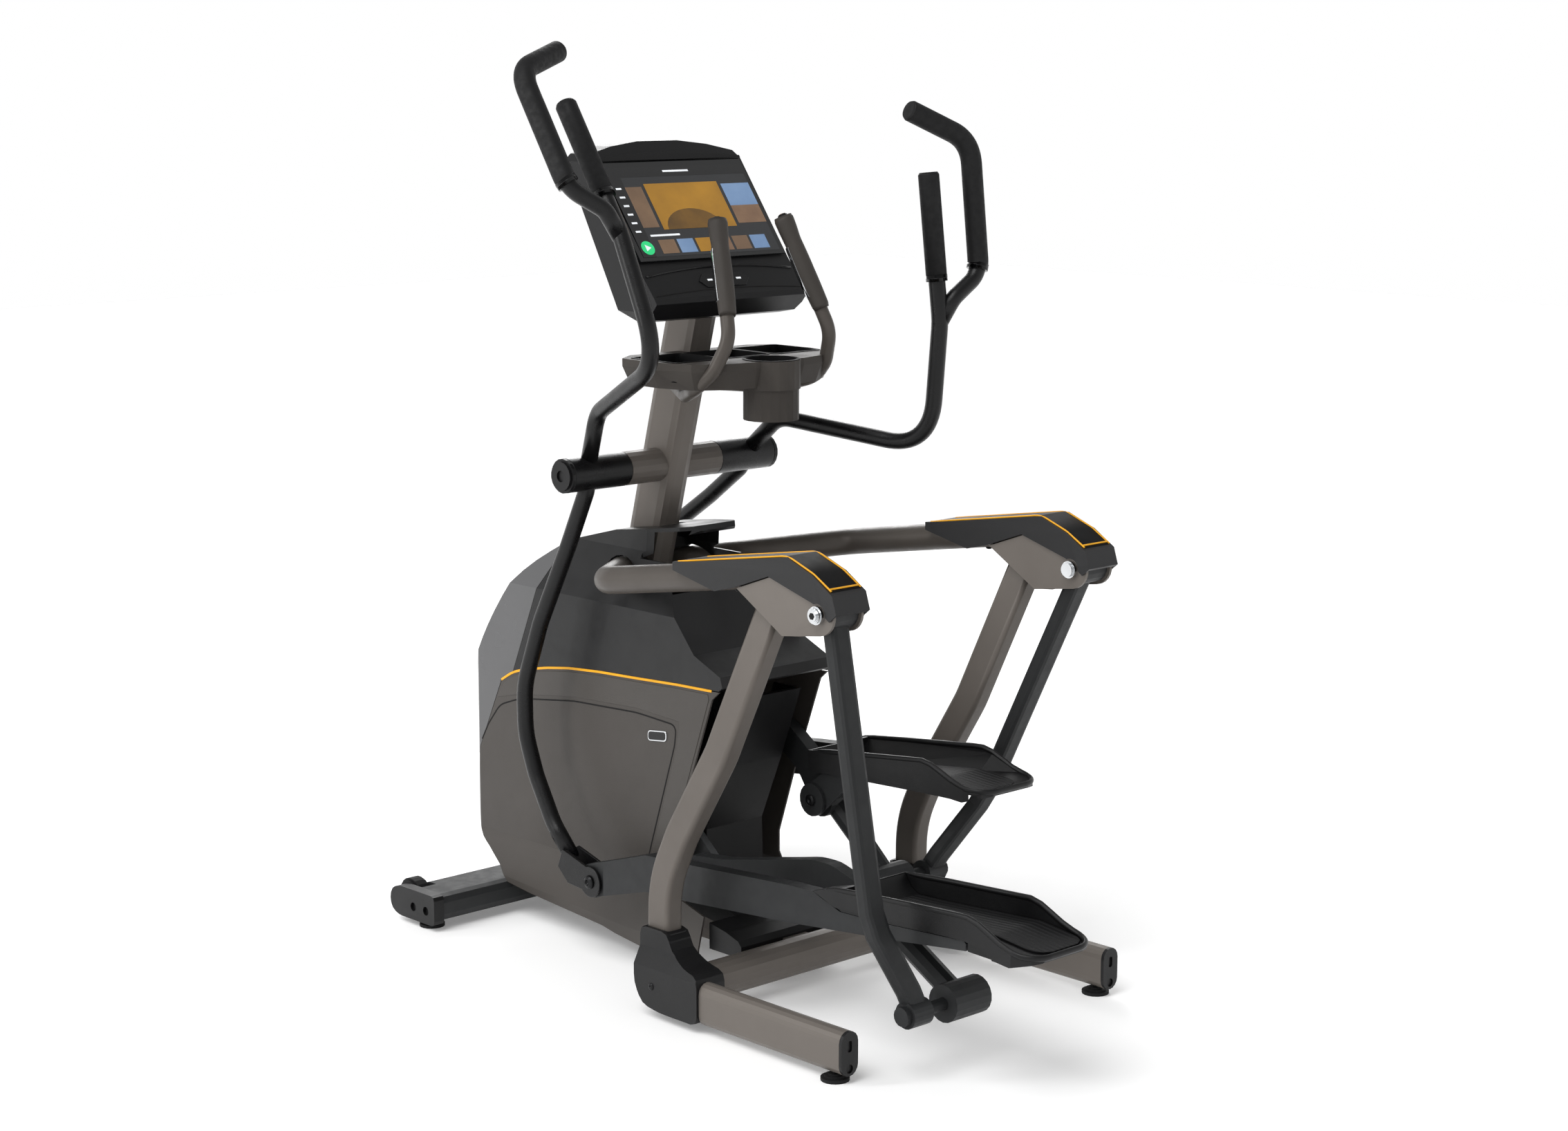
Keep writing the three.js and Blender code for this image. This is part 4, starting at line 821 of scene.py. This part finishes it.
tub("tray_liner_left", -182, -66, -606, -480, 1138, 1174.1, 11, LINER)
tub("tray_liner_right", 66, 182, -606, -480, 1138, 1174.1, 11, LINER)
tub("tray_liner_middle", -56, 56, -602, -482, 1150, 1174.1, 11, LINER, 3.0)
CUP = [(0.3, 44.4), (30, 44.4), (38.1, 44.6), (38.3, 48.6), (108.2, 48.6), (108.2, 54),
       (109.4, 53.6), (109.4, 47.4), (38.8, 47.0), (37.6, 43.2), (2.0, 41.0), (1.5, 1.0)]
lathe("cup_liner", CUP, (0, -665, 1066), (0, 0, 1), LINER, "frame")

# ------------------------------------------------------------------ display picture
def on_glass(u, v, lift):
    """u across and v up the glass, in mm from the middle of its lower edge."""
    return Vector((u, GLASS_LOW.y, GLASS_LOW.z)) + FACE_UP * v + FACE_OUT * lift


def patch(name, outline, material, lift=0.5, thick=0.25):
    verts = [on_glass(u, v, h) for h in (lift, lift + thick) for u, v in outline]
    faces = slab_faces(len(outline))
    return mesh_piece(name, verts, faces, material, "frame", 30.0)


def tile(name, u0, u1, v0, v1, material, lift=0.5):
    return patch(name, [(u0, v0), (u1, v0), (u1, v1), (u0, v1)], material, lift)


tile("screen_field", -172, 172, 8, 206, UI_PANEL, 0.45)
tile("screen_header", -172, 172, 184, 206, UI_BAR, 0.75)
tile("screen_rail", -172, -140, 8, 184, UI_BAR, 0.75)
tile("screen_hero_card", -92, 92, 66, 168, UI_HERO, 0.75)
tile("screen_side_card_a", -140, -100, 72, 162, UI_DUSK, 0.75)
tile("screen_side_sky", 100, 172, 112, 162, UI_SKY, 0.75)
tile("screen_side_land", 100, 172, 72, 112, UI_LAND, 0.75)
for i, look in enumerate((UI_DUSK, UI_SKY, UI_HERO, UI_LAND, UI_DUSK, UI_SKY)):
    tile(f"screen_thumb_{i}", -120 + i * 46, -80 + i * 46, 14, 44, look, 0.75)
tile("screen_caption", -132, -60, 52, 56, UI_TEXT, 0.8)
tile("screen_title", -30, 34, 193, 197, UI_TEXT, 1.05)
for i in range(6):
    tile(f"screen_rail_mark_{i}", -163, -150, 62 + i * 19, 66 + i * 19, UI_TEXT, 1.05)
patch("screen_go_button", [(-152 + u, 28 + v) for u, v in ring(15, n=28)], UI_GREEN, 1.05)
patch("screen_go_mark", [(-157, 21), (-144, 28), (-157, 35)], UI_TEXT, 1.35)
patch("screen_hero_arc", [(-10 + u, 66 + v) for u, v in ring(70, 44)[:17]], UI_HERO_SHADE, 1.05)

# ------------------------------------------------------------------ console furniture
# The ledge under the glass, a groove, the key surround and side inserts.
CHIN_TOP, CHIN_LOW = Vector((0.0, -508.0, 1346.0)), Vector((0.0, -556.0, 1288.0))
CHIN_OUT = Vector((0.0, -0.7703, 0.6375))


def on_chin(x, t, lift):
    """t runs from 0 at the glass edge to 1 at the chin's lower edge."""
    p = CHIN_TOP.lerp(CHIN_LOW, t) + CHIN_OUT * lift
    return Vector((x, p.y, p.z))


def chin_plate(name, outline, material, lift=-0.6, thick=2.6, bevel=0.8):
    verts = [on_chin(x, t, h) for h in (lift, lift + thick) for x, t in outline]
    faces = slab_faces(len(outline))
    return mesh_piece(name, verts, faces, material, "frame", 30.0, bevel)


CHIN_HALF = 182


def chin_line(name, depth, sag, width, height, material):
    path = [on_chin(x, depth - sag * (1 - (x / CHIN_HALF) ** 2), 0.2)
            for x in range(-CHIN_HALF, CHIN_HALF + 1, 14)]
    sweep(name, soft_rect(width, height, min(width, height) * 0.45, 3), path, material, "frame",
          across=tuple(CHIN_OUT))


chin_line("console_ledge", 0.34, 0.2, 5.0, 4.5, GLOSS_BLACK)
chin_line("console_groove", 0.93, 0.12, 1.2, 2.2, GROOVE)
SIDE_INSERT = [(-545, 1272), (-534, 1262), (-512, 1272), (-494, 1300), (-499, 1316),
               (-514, 1314)]
for side, s in SIDES:
    chin_plate(f"key_surround_{side}", [(s * 17.5, 0.36), (s * 48, 0.36), (s * 63, 0.56),
                                        (s * 48, 0.76), (s * 17.5, 0.76)], GLOSS_BLACK)
    chin_plate(f"key_surround_mark_{side}", [(s * 30, 0.53), (s * 42, 0.53), (s * 42, 0.58),
                                             (s * 30, 0.58)], UI_TEXT, 2.0, 0.3, 0.0)
    plate(f"console_side_insert_{side}", SIDE_INSERT, s * 190.4, s * 192.2, GLOSS_BLACK, "frame",
          None, 0.8)
TOP_BAND = [(-184, 221.6), (184, 221.6), (184, 226), (120, 233), (50, 238), (0, 239),
            (-50, 238), (-120, 233), (-184, 226)]
patch("console_top_band", TOP_BAND, GLOSS_BLACK, 0.15, 0.9)

bpy.context.view_layer.update()
